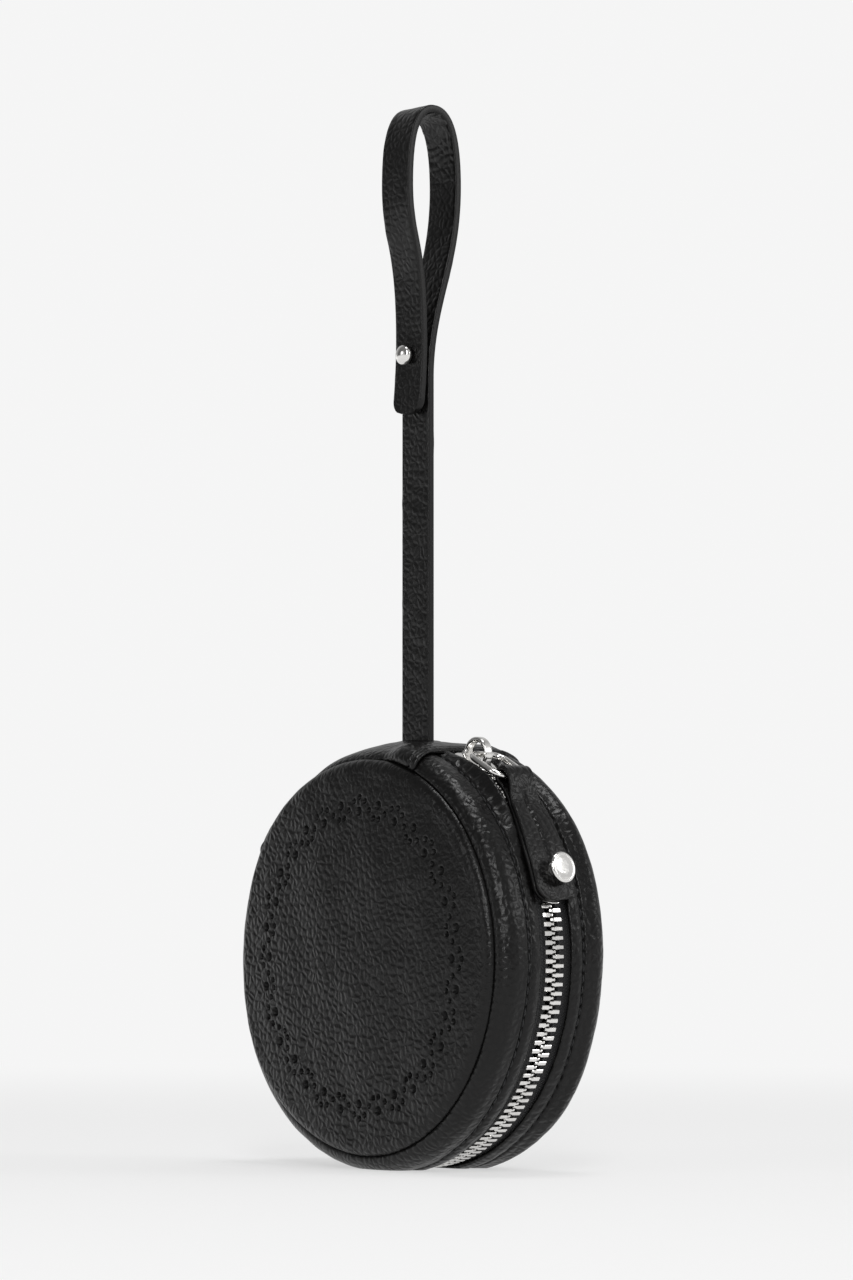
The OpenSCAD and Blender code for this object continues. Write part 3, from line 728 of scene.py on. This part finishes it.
def hinge_channel(depth, clocks):
    """How far the hinge gusset sinks along its middle, where the zip pull lies when the zip is open."""
    clocks = np.asarray(clocks) % 360
    return 1.7 * smooth((9 - np.abs(depth)) / 3.5) * smooth((clocks - 308) / 5) * smooth((350 - clocks) / 5)


class PURSE_OT_hinge(bpy.types.Operator):
    """The hinge gusset over the ends of the bands, with turned and creased ends, and its lining."""
    bl_idname = "purse.hinge"
    bl_label = "Hinge gusset"

    def execute(self, context):
        flat = np.linspace(SHOULDER_Y - 0.2, 0.2, 27)
        # Two sections: one lies over the bands at the ends, one is crowned between them
        over = bezier([(50.6, 15.4), (50.8, 19.6), (55.6, 18.0), (HINGE_R, SHOULDER_Y)], 20)
        over = np.r_[over, np.stack([np.full(27, HINGE_R), flat], -1)].T
        crown = bezier([(50.2, 15.2), (50.4, 17.4), (52.8, 16.6), (hinge_crown(SHOULDER_Y), SHOULDER_Y)], 20)
        crown = np.r_[crown, np.stack([hinge_crown(flat), flat], -1)].T
        over, crown = (np.concatenate([s, s[:, ::-1] * [[1], [-1]]], 1) for s in (over, crown))
        ends = np.array([0, 0.05, 0.16, 0.32, 0.5, 0.75, 1.0, 1.3, 1.6, 1.85, 2.05, 2.2, 2.35, 2.5, 2.7, 2.95, 3.3])
        length = math.radians(HINGE_SWEEP) * HINGE_R
        row = np.r_[ends, np.arange(3.8, length - 3.7, 0.6), length - ends[::-1]]
        share = (row / length)[:, None]
        edge = np.minimum(row, length - row)[:, None]
        lap = 1 - smooth((edge - LAP) / LAP_FADE)
        bow = 1 - (over[1] / HINGE_HALF) ** 2
        clocks = (ZIP_TO - 1 + BOW_LEFT * bow) * (1 - share) + (363.5 + ZIP_FROM - BOW_RIGHT * bow) * share
        y = over[1] * lap + crown[1] * (1 - lap)
        r = over[0] * lap + crown[0] * (1 - lap) - hinge_dip(y, clocks) - hinge_channel(y, clocks)
        out = unit(np.stack([-np.gradient(y, axis=1), np.gradient(r, axis=1)], -1))
        skin = rim(r, y, clocks)
        full = np.sqrt(1 - (1 - np.clip(edge / 0.65, 0, 1)) ** 2)
        strap = np.hypot(np.maximum(np.abs(skin[..., 0]) - STRAP_W / 2 - 0.1, 0) + 30 * (skin[..., 2] < CENTRE_Z + 40),
                         np.maximum(np.abs(skin[..., 1]) - STRAP_T / 2 - 0.05, 0))
        lift = (0.25 * hump(edge, 1.1, 0.7) - 0.42 * hump(edge, 2.3, 0.35) + 0.10 * wander(skin, 14, 23)
                + 0.05 * wander(skin, 5, 24) + 0.20 * hump(strap, 1.0, 0.6) - 0.45 * hump(strap, 0, 0.4))
        half = LEATHER / 2
        middle_r, middle_y = r - half * out[..., 0], y - half * out[..., 1]
        top = half * full + lift
        outer = rim(middle_r + top * out[..., 0], middle_y + top * out[..., 1], clocks)
        under = rim(middle_r - half * full * out[..., 0], middle_y - half * full * out[..., 1], clocks)
        section = track(over.T)
        piece = Shape().add(np.concatenate([outer, under[:, ::-1]], 1),
                            cloth=cloth_map(row, np.r_[section, section[::-1]])).make(
            "hinge_gusset_leather", leather("gusset_leather", 1.0, 0.5), "leather", None, ["hinge_gusset"])
        cloth_y = np.linspace(-SHOULDER_Y, SHOULDER_Y, 40)
        rows = np.linspace(ZIP_TO + 4.94, 355.06 + ZIP_FROM, 90)
        high = hinge_crown(cloth_y) - LEATHER - 0.15
        outline_y = np.r_[cloth_y, cloth_y[::-1]]
        outline_r = np.r_[high, high[::-1] - CLOTH]
        points = swept(outline_r, outline_y, rows)
        points = rim(outline_r + 0.06 * wander(points, 9, 31) - hinge_channel(outline_y, rows[:, None]),
                     np.broadcast_to(outline_y, points.shape[:2]), rows[:, None])
        weave = cloth_map(np.radians(rows) * HINGE_R, outline_y)
        lining = Shape().add(points, cloth=weave).make(
            "hinge_gusset_cloth", lining_cloth(), "lining", None, ["hinge_gusset_lining"])
        for part in (piece, lining):
            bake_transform(part)
        return {"FINISHED"}


class PURSE_OT_linings(bpy.types.Operator):
    """Cloth linings of the panels and bands, and the finish of the boards that stiffen the panels."""
    bl_idname = "purse.linings"
    bl_label = "Linings"

    def execute(self, context):
        cloth = lining_cloth()
        board = board_finish()
        under = LEATHER + BOARD + 0.1
        radius = np.r_[0, 8, 16, 24, 32, 40, 46, RIM_R + 0.9, RIM_R + 1.15, RIM_R + 0.9, 46, 40, 32, 24, 16, 8, 0]
        drop = np.r_[np.full(8, under), under + CLOTH / 2, np.full(8, under + CLOTH)]
        clocks = np.linspace(0, 360, 144, endpoint=False)
        outline_y = np.r_[BAND_EDGE + 0.8, SEAM_Y - 1.65, SEAM_Y - 1.65, BAND_EDGE + 0.8]
        outline_r = CHAIN_R - 0.4 - np.r_[0, 0, CLOTH, CLOTH]
        rows = np.linspace(ZIP_FROM, ZIP_TO, 300)
        for name, way, seed in (("front", -1, 41), ("back", 1, 43)):
            points = rim(radius[:, None], way * (dome(radius) - drop)[:, None], clocks[None])
            inside = (np.arange(len(radius)) > 8)[:, None]
            points[..., 1] -= way * 0.10 * (1 + wander(points, 15, seed)) * inside * smooth((48 - radius) / 6)[:, None]
            weave = np.stack([points[..., 0], points[..., 2], 0 * points[..., 0]], -1) * MM
            Shape().add(points, caps=False, cloth=weave).make(
                name + "_panel_cloth", cloth, "lining", name + "_half", [name + "_lining"])
            points = swept(outline_r, way * outline_y, rows)
            weave = cloth_map(np.radians(rows) * CHAIN_R, outline_y)
            Shape().add(points, cloth=weave).make(
                name + "_band_cloth", cloth, "lining", name + "_half", [name + "_band_lining"])
            repaint([name + "_stiffener"], board)
        return {"FINISHED"}


class PURSE_OT_zip(bpy.types.Operator):
    """Zip tapes of twill, two rows of metal teeth that lock into each other, and the finish of the zip stops."""
    bl_idname = "purse.zip"
    bl_label = "Zip"

    def execute(self, context):
        nickel = metal()
        twill = tape_cloth()
        across = np.r_[1.75, 1.9, 2.4, 2.75, np.linspace(3.1, 11.3, 12), 11.45]
        bulge = np.r_[0.12, 0.5, 0.5, 0.34, np.full(12, 0.3), 0.15]
        outline_y = np.r_[across, across[::-1]]
        outline_r = np.r_[CHAIN_R + bulge, CHAIN_R - bulge[::-1]]
        rows = np.linspace(ZIP_FROM - 4.5, ZIP_TO + 4.5, 420)
        # Half widths and half heights of a tooth from its clamped end to its head
        at = np.array([3.05, 2.92, 0.72, 0.4, -0.12, -0.46, -0.6])
        wide = np.array([0.44, 0.57, 0.57, 0.42, 0.36, 0.40, 0.25])[:, None]
        high = np.array([0.82, 1.0, 1.0, 0.9, 0.82, 0.82, 0.55])[:, None]
        cut = 0.16
        tooth_x = np.concatenate([wide, wide, wide - cut, cut - wide, -wide, -wide, cut - wide, wide - cut], 1)
        tooth_z = np.concatenate([cut - high, high - cut, high, high, high - cut, cut - high, -high, -high], 1)
        for name, way, start in (("front", -1, 0.5), ("back", 1, 0.0)):
            points = swept(outline_r, way * outline_y, rows)
            weave = cloth_map(np.radians(rows) * CHAIN_R, outline_y)
            Shape().add(points, cloth=weave).make(
                name + "_tape_twill", twill, "zip_tape", name + "_half", [name + "_zip_tape"])
            tooth = np.stack([tooth_x, np.broadcast_to(way * at[:, None], tooth_x.shape), tooth_z], -1)
            clocks = TOOTH_FROM + (np.arange(TOOTH_COUNT) + start) * TOOTH_STEP
            Shape().add(round_the_rim(tooth, CHAIN_R, 0.0, clocks)).make(
                name + "_teeth_row", nickel, "metal", name + "_half", [name + "_zip_teeth"], 25.0)
        repaint(("back_top_stop", "front_top_stop", "zip_bottom_stop"), nickel)
        return {"FINISHED"}


class PURSE_OT_slider(bpy.types.Operator):
    """Zip slider: two rounded plates with turned-in flanges, the wall between them and the arched crown."""
    bl_idname = "purse.slider"
    bl_label = "Zip slider"

    def execute(self, context):
        turn = np.linspace(0, 2 * math.pi, 64, endpoint=False)
        c, s = np.cos(turn), np.sin(turn)
        plan_x = SLIDER_LONG * np.sign(c) * np.abs(c) ** 0.5
        plan_y = SLIDER_WIDE * np.sign(s) * np.abs(s) ** 0.5 * (1 - 0.07 * plan_x / SLIDER_LONG)
        flange = 0.95 * smooth((np.abs(plan_y) / SLIDER_WIDE - 0.78) / 0.16)
        share = np.array([0, 0.4, 0.72, 0.86, 0.94, 0.985, 1.0, 1.0, 0.985, 0.95, 0.9, 0.86, 0.5, 0])[:, None]
        level = np.array([55.85, 55.82, 55.74, 55.64, 55.5, 55.28, 55.05, 54.85, 54.72, 54.66, 54.66, 54.62, 54.6,
                          54.6])[:, None]
        deep = np.array([0, 0, 0, 0, 0, 0, 0.3, 0.8, 1, 1, 0.9, 0, 0, 0])[:, None]
        plate = np.stack(np.broadcast_arrays(share * plan_x, share * plan_y, level - deep * flange), -1)
        sole = plate * [1, 1, -1] + [0, 0, 2 * CHAIN_R]
        wall_z = np.array([51.2, 52.4, 53.9, 55.0])[:, None]
        wall = np.stack(np.broadcast_arrays(-2.3 + 2.4 * c, 0.26 * s, wall_z), -1)
        arch = np.radians(np.linspace(180, 0, 33))
        path = np.r_[[[-3.95, 55.2], [-3.93, 55.7], [-3.9, 56.4]],
                     np.stack([CROWN_R * np.cos(arch), CROWN_Z + CROWN_R * np.sin(arch)], -1),
                     [[3.9, 56.4], [3.93, 55.7], [3.95, 55.2]]]
        way = unit(np.gradient(path, axis=0))
        none = np.zeros(len(path))
        width = 2.4 + 1.8 * hump(path[:, 1], 55.3, 0.8)
        crown, _ = ribbon(np.stack([path[:, 0], none, path[:, 1]], -1), np.stack([-way[:, 1], none, way[:, 0]], -1),
                          ALONG_Y, width, 1.25, 0.5, None, 5, 6, 0.0)
        shape = Shape()
        for part in (plate, sole):
            shape.add(at_clock(part, SLIDER_AT), caps=False)
        for part in (wall, crown):
            shape.add(at_clock(part, SLIDER_AT))
        shape.make("zip_slider", metal(), "metal", "slider", ["slider_body", "slider_crown"])
        return {"FINISHED"}


def tab_width(along):
    """Width of the pull tab: a neck at the ring, a flare to the stud and a tip with round corners."""
    flare = TAB_NECK + (TAB_W - TAB_NECK) * smooth((along - 1) / 24)
    over = np.clip((along - TAB_LEN + TAB_CORNER) / TAB_CORNER, 0, 1)
    return flare - 2 * TAB_CORNER * (1 - np.sqrt(np.maximum(1 - over ** 2, 0)))


def tab_line(along):
    """Middle line of the tab, its outward normal and its way along: it dips from the ring's bar to the zip,
    radius = bar radius - dip smooth(s / 9), keeps to the rim and bears a little to the front."""
    clock = np.radians(TAB_FROM) + along / TAB_ARC
    radius = TAB_BAR_R + (TAB_R - TAB_BAR_R) * smooth(along / 9) - 0.5 * smooth((along - 16) / 20)
    middle = rim(radius, -0.3 * smooth(along / 22), np.degrees(clock))
    ahead = unit(np.gradient(middle, along, axis=0))
    return middle, np.cross(ahead, [0.0, -1.0, 0.0]), ahead


class PURSE_OT_pull(bpy.types.Operator):
    """Pull ring, the folded leather tab with its stitches, the mushroom stud, and the finish of both stud screws."""
    bl_idname = "purse.pull"
    bl_label = "Zip pull"

    def execute(self, context):
        nickel = metal()
        lift = math.radians(RING_LIFT)
        near, far = 3.2, 3.4
        quarter = np.radians(np.linspace(0, 90, 10))
        corners = [(RING_REACH - far, RING_HALF - far, far, 0), (near, RING_HALF - near, near, 90),
                   (near, near - RING_HALF, near, 180), (RING_REACH - far, far - RING_HALF, far, 270)]
        loop = np.concatenate([np.stack([x + r * np.cos(quarter + math.radians(a)),
                                         y + r * np.sin(quarter + math.radians(a))], -1) for x, y, r, a in corners])
        loop = even(np.r_[loop, loop[:1]], 0.4)[0][:-1]
        loop[:, 1] *= 1 + 0.03 * np.sin(math.pi * np.clip(loop[:, 0] / RING_REACH, 0, 1))
        way = unit(np.roll(loop, -1, 0) - np.roll(loop, 1, 0))
        turn = np.linspace(0, 2 * math.pi, 16, endpoint=False)
        spot = loop[:, None] + WIRE / 2 * np.cos(turn)[None, :, None] * np.stack([way[:, 1], -way[:, 0]], -1)[:, None]
        rise = np.broadcast_to(WIRE / 2 * np.sin(turn), spot.shape[:2])
        wire = np.stack([BAR[0] + spot[..., 0] * math.cos(lift) - rise * math.sin(lift), spot[..., 1],
                         BAR[1] + spot[..., 0] * math.sin(lift) + rise * math.cos(lift)], -1)
        Shape().add(at_clock(wire, SLIDER_AT), loop=True).make("pull_ring_wire", nickel, "metal", "ring", ["pull_ring"])

        ply = (TAB_T - 0.06) / 2
        spread = TAB_FOLD - ply / 2
        end = TAB_LEN - TAB_CORNER * (1 - np.sin(np.linspace(math.pi / 2, 0, 14)))
        run = np.r_[end, np.arange(end[-1] - 0.5, 0.2, -0.5), 0]
        apart = (ply / 2 + 0.03 + (spread - ply / 2 - 0.03) * smooth((7 - run) / 7))[:, None]
        middle, out, ahead = tab_line(run)
        fold = np.radians(np.linspace(0, 180, 19))[1:-1, None]
        path = np.r_[middle + apart * out, middle[-1] + spread * (np.cos(fold) * out[-1] - np.sin(fold) * ahead[-1]),
                     (middle - apart * out)[::-1]]
        along = np.r_[run, np.zeros(len(fold)), run[::-1]][:, None]
        way = unit(np.gradient(path, axis=0))
        width = tab_width(along)

        def puff(x, up):
            edge = width / 2 - np.abs(x)
            stud = np.hypot(along - TAB_STUD, x)
            row = hump(x, 0, 0.5) * smooth((along - 4) / 1.5) * smooth((TAB_STUD - 2 - along) / 1.5)
            return (0.10 * wander(np.stack(np.broadcast_arrays(along, x, 0.0), -1), 8, 51) - 0.42 * row
                    - 0.12 * hump(edge, 0.9, 0.25) - 0.18 * hump(stud, 0, 3.0)) * (np.abs(up) > 0.9)

        points, marks = ribbon(path, np.cross(way, ALONG_Y), ALONG_Y, width[:, 0], ply, 0.38, puff, 21, 4, 0.0)
        Shape().add(points, **marks).make(
            "pull_tab_leather", leather("tab_leather", 0.8, 0.45), "leather", "pull", ["pull_tab"])
        spots = np.arange(5.0, TAB_STUD - 2.5, context.scene.purse_sewing.pitch / MM * 0.9)
        middle, out, ahead = tab_line(spots)
        Shape().add(place_copies(stitch_shape() * 0.8, ahead, np.cross(out, ahead), out,
                                 middle + (TAB_T / 2 - 0.30) * out)).make(
            "pull_tab_stitches", thread_finish(), "zip_tape", "pull")

        stud = lathe([(0, -1.4), (1.5, -1.4), (1.55, -0.2), (2.95, -0.12), (3.0, 0.12), (2.9, 0.4), (2.4, 1.2),
                      (2.0, 2.3), (1.9, 3.9), (2.2, 4.32), (3.4, 4.54), (3.8, 4.68), (3.97, 4.94), (4.0, 5.16),
                      (3.93, 5.38), (3.75, 5.56), (3.5, 5.65), (3.25, 5.67), (3.12, 5.6), (2.98, 5.6), (2.86, 5.66),
                      (1.5, 5.69), (0, 5.7)], 56)
        # It leans a little to the back and stands a little behind the tab's middle line
        turn = math.radians(STUD_TIP)
        stud = stud @ np.array([[1, 0, 0], [0, math.cos(turn), -math.sin(turn)], [0, math.sin(turn), math.cos(turn)]])
        foot, out, _ = (v[1] for v in tab_line(TAB_STUD + np.array([-0.1, 0.0, 0.1])))
        points = at_clock(stud, STUD_LEAN) - [0, 0, CENTRE_Z] + foot + TAB_T / 2 * out + [0, STUD_ASIDE, 0]
        Shape().add(points, caps=False).make("pull_stud_turned", nickel, "metal", "pull", ["pull_stud"], 35.0)
        repaint(("pull_stud_screw", "strap_stud_screw"), nickel)
        return {"FINISHED"}


def strap_line(parts, step=0.5):
    """Middle line of the strap through Bezier parts given as (depth, height): points, directions to the loop's
    inside, lengths."""
    path, run = even(np.concatenate([bezier(p)[(k > 0):] for k, p in enumerate(parts)]), step)
    way = unit(np.gradient(path, axis=0))
    none = np.zeros(len(path))
    return (np.stack([none, path[:, 0], FOOT_Z + path[:, 1]], -1), np.stack([none, -way[:, 1], way[:, 0]], -1), run)


class PURSE_OT_strap(bpy.types.Operator):
    """Wrist strap in two plies with painted edges, its buttoned tail, its anchor and its stud."""
    bl_idname = "purse.strap"
    bl_label = "Wrist strap"

    def execute(self, context):
        hide = leather("strap_leather", 0.9, 0.42)
        rise = [[(0, -4.2), (0, 0), (0, LOOP / 2), (0, LOOP)],
                [(0, LOOP), (0, LOOP + 0.28 * LOOP_H), (LOOP_BACK, LOOP + 0.42 * LOOP_H), (LOOP_BACK, WIDE)],
                [(LOOP_BACK, WIDE), (LOOP_BACK, WIDE + 0.18 * LOOP_H),
                 (LOOP_BACK - 0.3 * (LOOP_BACK - APEX[0]), APEX[1]), APEX]]
        fall = [[APEX, (LOOP_FRONT + 0.3 * (APEX[0] - LOOP_FRONT), APEX[1]), (LOOP_FRONT, WIDE + 0.18 * LOOP_H),
                 (LOOP_FRONT, WIDE)],
                [(LOOP_FRONT, WIDE), (LOOP_FRONT, LOOP + 0.50 * LOOP_H), (TAIL_Y, LOOP + 0.52 * LOOP_H),
                 (TAIL_Y, LOOP + 1.6 * STUD_UP)],
                [(TAIL_Y, LOOP + 1.6 * STUD_UP), (TAIL_Y, LOOP + STUD_UP), (TAIL_Y - 0.2, LOOP),
                 (TAIL_Y - 1.2, LOOP - TAIL_DROP)]]
        pieces = {}
        for name, parts, nodes, seed in (("wrist_strap", rise, ["strap_face", "strap_lining"], 61),
                                         ("strap_tail", fall, ["tail_face", "tail_lining"], 67)):
            path, inside, run = strap_line(parts)
            top = run[-1] - run if name == "wrist_strap" else run
            rest = run[-1] - run if name == "strap_tail" else np.full(len(run), 99.0)
            short = np.clip(TAIL_CORNER - rest, 0, TAIL_CORNER)
            width = STRAP_W - 2 * (TAIL_CORNER - np.sqrt(TAIL_CORNER ** 2 - short ** 2))
            stud_at = path[:, 2:] - (FOOT_Z + LOOP + STUD_UP)

            def puff(x, up):
                spot = np.stack(np.broadcast_arrays(x, run[:, None], 3.0 * up), -1)
                fold = np.sin(2 * math.pi * (top[:, None] / 2.7 + 0.35 * np.sin(top[:, None] / 2.3) + 0.06 * x
                                             + 0.25 * np.sin(0.5 * x)))
                crush = hump(top[:, None], 5, 13) * (up > 0.9) * (0.6 + 0.4 * wander(spot, 9, seed + 2))
                near = hump(np.hypot(stud_at - 1.2, x), 0, 2.8) * (name == "strap_tail") * (up < -0.9)
                return ((0.10 * wander(spot, 13, seed) + 0.05 * wander(spot, 5, seed + 1)) * (np.abs(up) > 0.9)
                        + 0.17 * crush * fold + 0.30 * near)

            points, marks = ribbon(path, inside, ALONG_X, width, STRAP_T, 0.42, puff, 15, 4, 0.06)
            pieces[name] = Shape().add(points, **marks).make(name, hide, "leather", None, nodes)
        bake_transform(pieces["wrist_strap"])
        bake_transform(pieces["strap_tail"])

        depth = np.linspace(-ANCHOR_HALF, ANCHOR_HALF, 33)
        foot = np.stack(np.broadcast_arrays(0.0, depth, CENTRE_Z + ANCHOR_R), -1)
        points, marks = ribbon(foot, UP, ALONG_X, STRAP_W, LEATHER, 0.35)
        Shape().add(points, **marks).make("strap_anchor_leather", hide, "leather", "back_half", ["strap_anchor"])

        head = np.radians(np.linspace(-58, 90, 16))
        knob = np.stack([KNOB_R * np.cos(head), KNOB_OUT + KNOB_H * np.sin(head)], -1)
        stud = lathe(np.r_[[(0, 0.1), (1.15, 0.1), (1.2, 2.6), (1.2, 3.1)], knob], 40)
        # The stud's axis runs forward, out of the tail
        points = np.stack([stud[..., 0], -stud[..., 2], FOOT_Z + LOOP + STUD_UP + stud[..., 1]], -1)
        Shape().add(points, caps=False).make("strap_stud_turned", metal(), "metal", "strap", ["strap_stud"], 35.0)
        return {"FINISHED"}


def look_matrix(eye, forward):
    """Camera or lamp matrix that looks along forward with its x axis level."""
    forward = Vector(forward).normalized()
    right = forward.cross(Vector((0, 0, 1)))
    right = right.normalized() if right.length > 1e-6 else Vector((1, 0, 0))
    up = right.cross(forward)
    turn = Matrix((right, up, -forward)).transposed().to_4x4()
    return Matrix.Translation(Vector(eye)) @ turn


class PURSE_OT_stage(bpy.types.Operator):
    """Pale floor that fades into the backdrop, soft boxes and the camera."""
    bl_idname = "purse.stage"
    bl_label = "Stage"

    def execute(self, context):
        scene = context.scene
        look = scene.purse_stage
        radius = np.r_[0, np.geomspace(0.2, 40, 40)] / MM
        turn = np.linspace(0, 2 * math.pi, 96, endpoint=False)
        disc = np.stack(np.broadcast_arrays(radius[:, None] * np.cos(turn), radius[:, None] * np.sin(turn), 0.0), -1)
        floor = self.floor_finish(look)
        mesh = bpy.data.meshes.new("floor")
        rows, cols = disc.shape[:2]
        i, j = np.meshgrid(np.arange(rows - 1), np.arange(cols), indexing="ij")
        faces = np.stack([i * cols + j, (i + 1) * cols + j, (i + 1) * cols + (j + 1) % cols, i * cols + (j + 1) % cols],
                         -1).reshape(-1, 4)
        mesh.from_pydata((disc.reshape(-1, 3) * MM).tolist(), [], faces.tolist())
        mesh.materials.append(floor)
        piece = bpy.data.objects.new("floor", mesh)
        scene.collection.objects.link(piece)

        world = bpy.data.worlds.new("studio")
        scene.world = world
        world.use_nodes = True
        tree = world.node_tree
        back = tree.nodes["Background"]
        back.inputs["Strength"].default_value = 1.0
        seen = Wire(tree.nodes.new("ShaderNodeLightPath").outputs["Is Camera Ray"])
        ray = Wire(tree.nodes.new("ShaderNodeTexCoord").outputs["Generated"])
        # The white sweep stands behind the purse, the front of the studio is dim
        behind = ray.dot((-math.sin(look.azimuth), math.cos(look.azimuth), 0))
        above = ray.node("SeparateXYZ", {}, {0: ray}, "Z")
        ahead = ray.dot((-0.1, -0.99, 0.1))
        beside = ray.dot((0.76, 0.62, 0.2))
        glow = (0.10 + 0.45 * behind.step(0.1, 0.9) + 0.10 * above.step(0.1, 0.95) + 0.55 * beside.step(0.45, 0.95)
                + 0.45 * ahead.step(0.85, 0.98))
        tree.links.new(seen.mix(glow.mix(rgb((0, 0, 0)), rgb((1, 1, 1))), rgb(look.backdrop)).socket,
                       back.inputs["Color"])

        middle = Vector((0, 0, 0.12))
        # Name, place, width, height and power of each soft box
        boxes = (("top", (0.10, 0.05, 1.40), 0.40, 0.40, 5.0), ("strip", (1.05, -0.86, 0.80), 0.22, 1.10, 9.0),
                 ("right", (1.2, 0.9, 0.75), 0.50, 0.50, 3.4), ("front", (-0.35, -1.45, 0.60), 0.45, 0.45, 1.7),
                 ("left", (-1.5, -0.15, 0.20), 0.40, 0.40, 0.3))
        for name, place, wide, high, power in boxes:
            lamp = bpy.data.lights.new("soft_box_" + name, "AREA")
            lamp.shape = "RECTANGLE"
            lamp.size, lamp.size_y = wide, high
            lamp.energy = power * look.light
            made = bpy.data.objects.new(lamp.name, lamp)
            made.matrix_world = look_matrix(place, middle - Vector(place))
            scene.collection.objects.link(made)

        centre = Vector((0, 0, CENTRE_Z * MM))
        away = Vector((math.sin(look.azimuth) * math.cos(look.elevation),
                       -math.cos(look.azimuth) * math.cos(look.elevation), math.sin(look.elevation)))
        eye = centre + look.distance * away
        right = (-away).cross(Vector((0, 0, 1))).normalized()
        up = right.cross(-away)
        forward = -away + right * ((PHOTO_W / 2 - CENTRE_PX[0]) / FOCUS_PX) + up * (
            (CENTRE_PX[1] - PHOTO_H / 2) / FOCUS_PX)
        lens = bpy.data.cameras.new("photo_camera")
        lens.sensor_fit = "VERTICAL"
        lens.sensor_height = 36.0
        lens.lens = lens.sensor_height * FOCUS_PX / PHOTO_H
        lens.clip_end = 100.0
        camera = bpy.data.objects.new("photo_camera", lens)
        camera.matrix_world = look_matrix(eye, forward)
        scene.collection.objects.link(camera)
        scene.camera = camera
        scene.view_settings.view_transform = "Standard"
        return {"FINISHED"}

    def floor_finish(self, look):
        """Matt pale floor near the purse that turns into the backdrop's even tone far from it."""
        made = bpy.data.materials.new("pale_floor")
        made.use_nodes = True
        tree = made.node_tree
        shader = tree.nodes["Principled BSDF"]
        shader.inputs["Base Color"].default_value = rgb(look.backdrop, 1.04)
        shader.inputs["Roughness"].default_value = 0.9
        shader.inputs["Specular IOR Level"].default_value = 0.1
        place = Wire(tree.nodes.new("ShaderNodeTexCoord").outputs["Object"])
        far = place.node("VectorMath", {"operation": "LENGTH"}, {0: place}, "Value").step(0.15, 0.9) * 0.4 + 0.6
        glow = tree.nodes.new("ShaderNodeEmission")
        glow.inputs["Color"].default_value = rgb(look.backdrop)
        mix = tree.nodes.new("ShaderNodeMixShader")
        tree.links.new(far.socket, mix.inputs[0])
        tree.links.new(shader.outputs[0], mix.inputs[1])
        tree.links.new(glow.outputs[0], mix.inputs[2])
        tree.links.new(mix.outputs[0], tree.nodes["Material Output"].inputs["Surface"])
        return made


LOOKS = {"purse_leather": LeatherLook, "purse_sewing": SewingLook, "purse_cloth": ClothLook, "purse_metal": MetalLook,
         "purse_stage": StageLook}
STEPS = (PURSE_OT_panels, PURSE_OT_bands, PURSE_OT_hinge, PURSE_OT_linings, PURSE_OT_zip, PURSE_OT_slider,
         PURSE_OT_pull, PURSE_OT_strap, PURSE_OT_stage)


class PURSE_PT_sidebar(bpy.types.Panel):
    """Sizes and colours of the purse and its making steps."""
    bl_idname = "PURSE_PT_sidebar"
    bl_label = "Coin purse"
    bl_space_type = "VIEW_3D"
    bl_region_type = "UI"
    bl_category = "Purse"

    def draw(self, context):
        for key, look in LOOKS.items():
            box = self.layout.box()
            for name in look.__annotations__:
                box.prop(getattr(context.scene, key), name)
        for step in STEPS:
            self.layout.operator(step.bl_idname)


def register():
    for made in (*LOOKS.values(), *STEPS, PURSE_PT_sidebar):
        bpy.utils.register_class(made)
    for key, look in LOOKS.items():
        setattr(bpy.types.Scene, key, bpy.props.PointerProperty(type=look))


def unregister():
    for key in LOOKS:
        delattr(bpy.types.Scene, key)
    for made in (PURSE_PT_sidebar, *reversed(STEPS), *LOOKS.values()):
        bpy.utils.unregister_class(made)


def main():
    register()
    for step in STEPS:
        group, name = step.bl_idname.split(".")
        getattr(getattr(bpy.ops, group), name)()


if __name__ == "__main__":
    main()
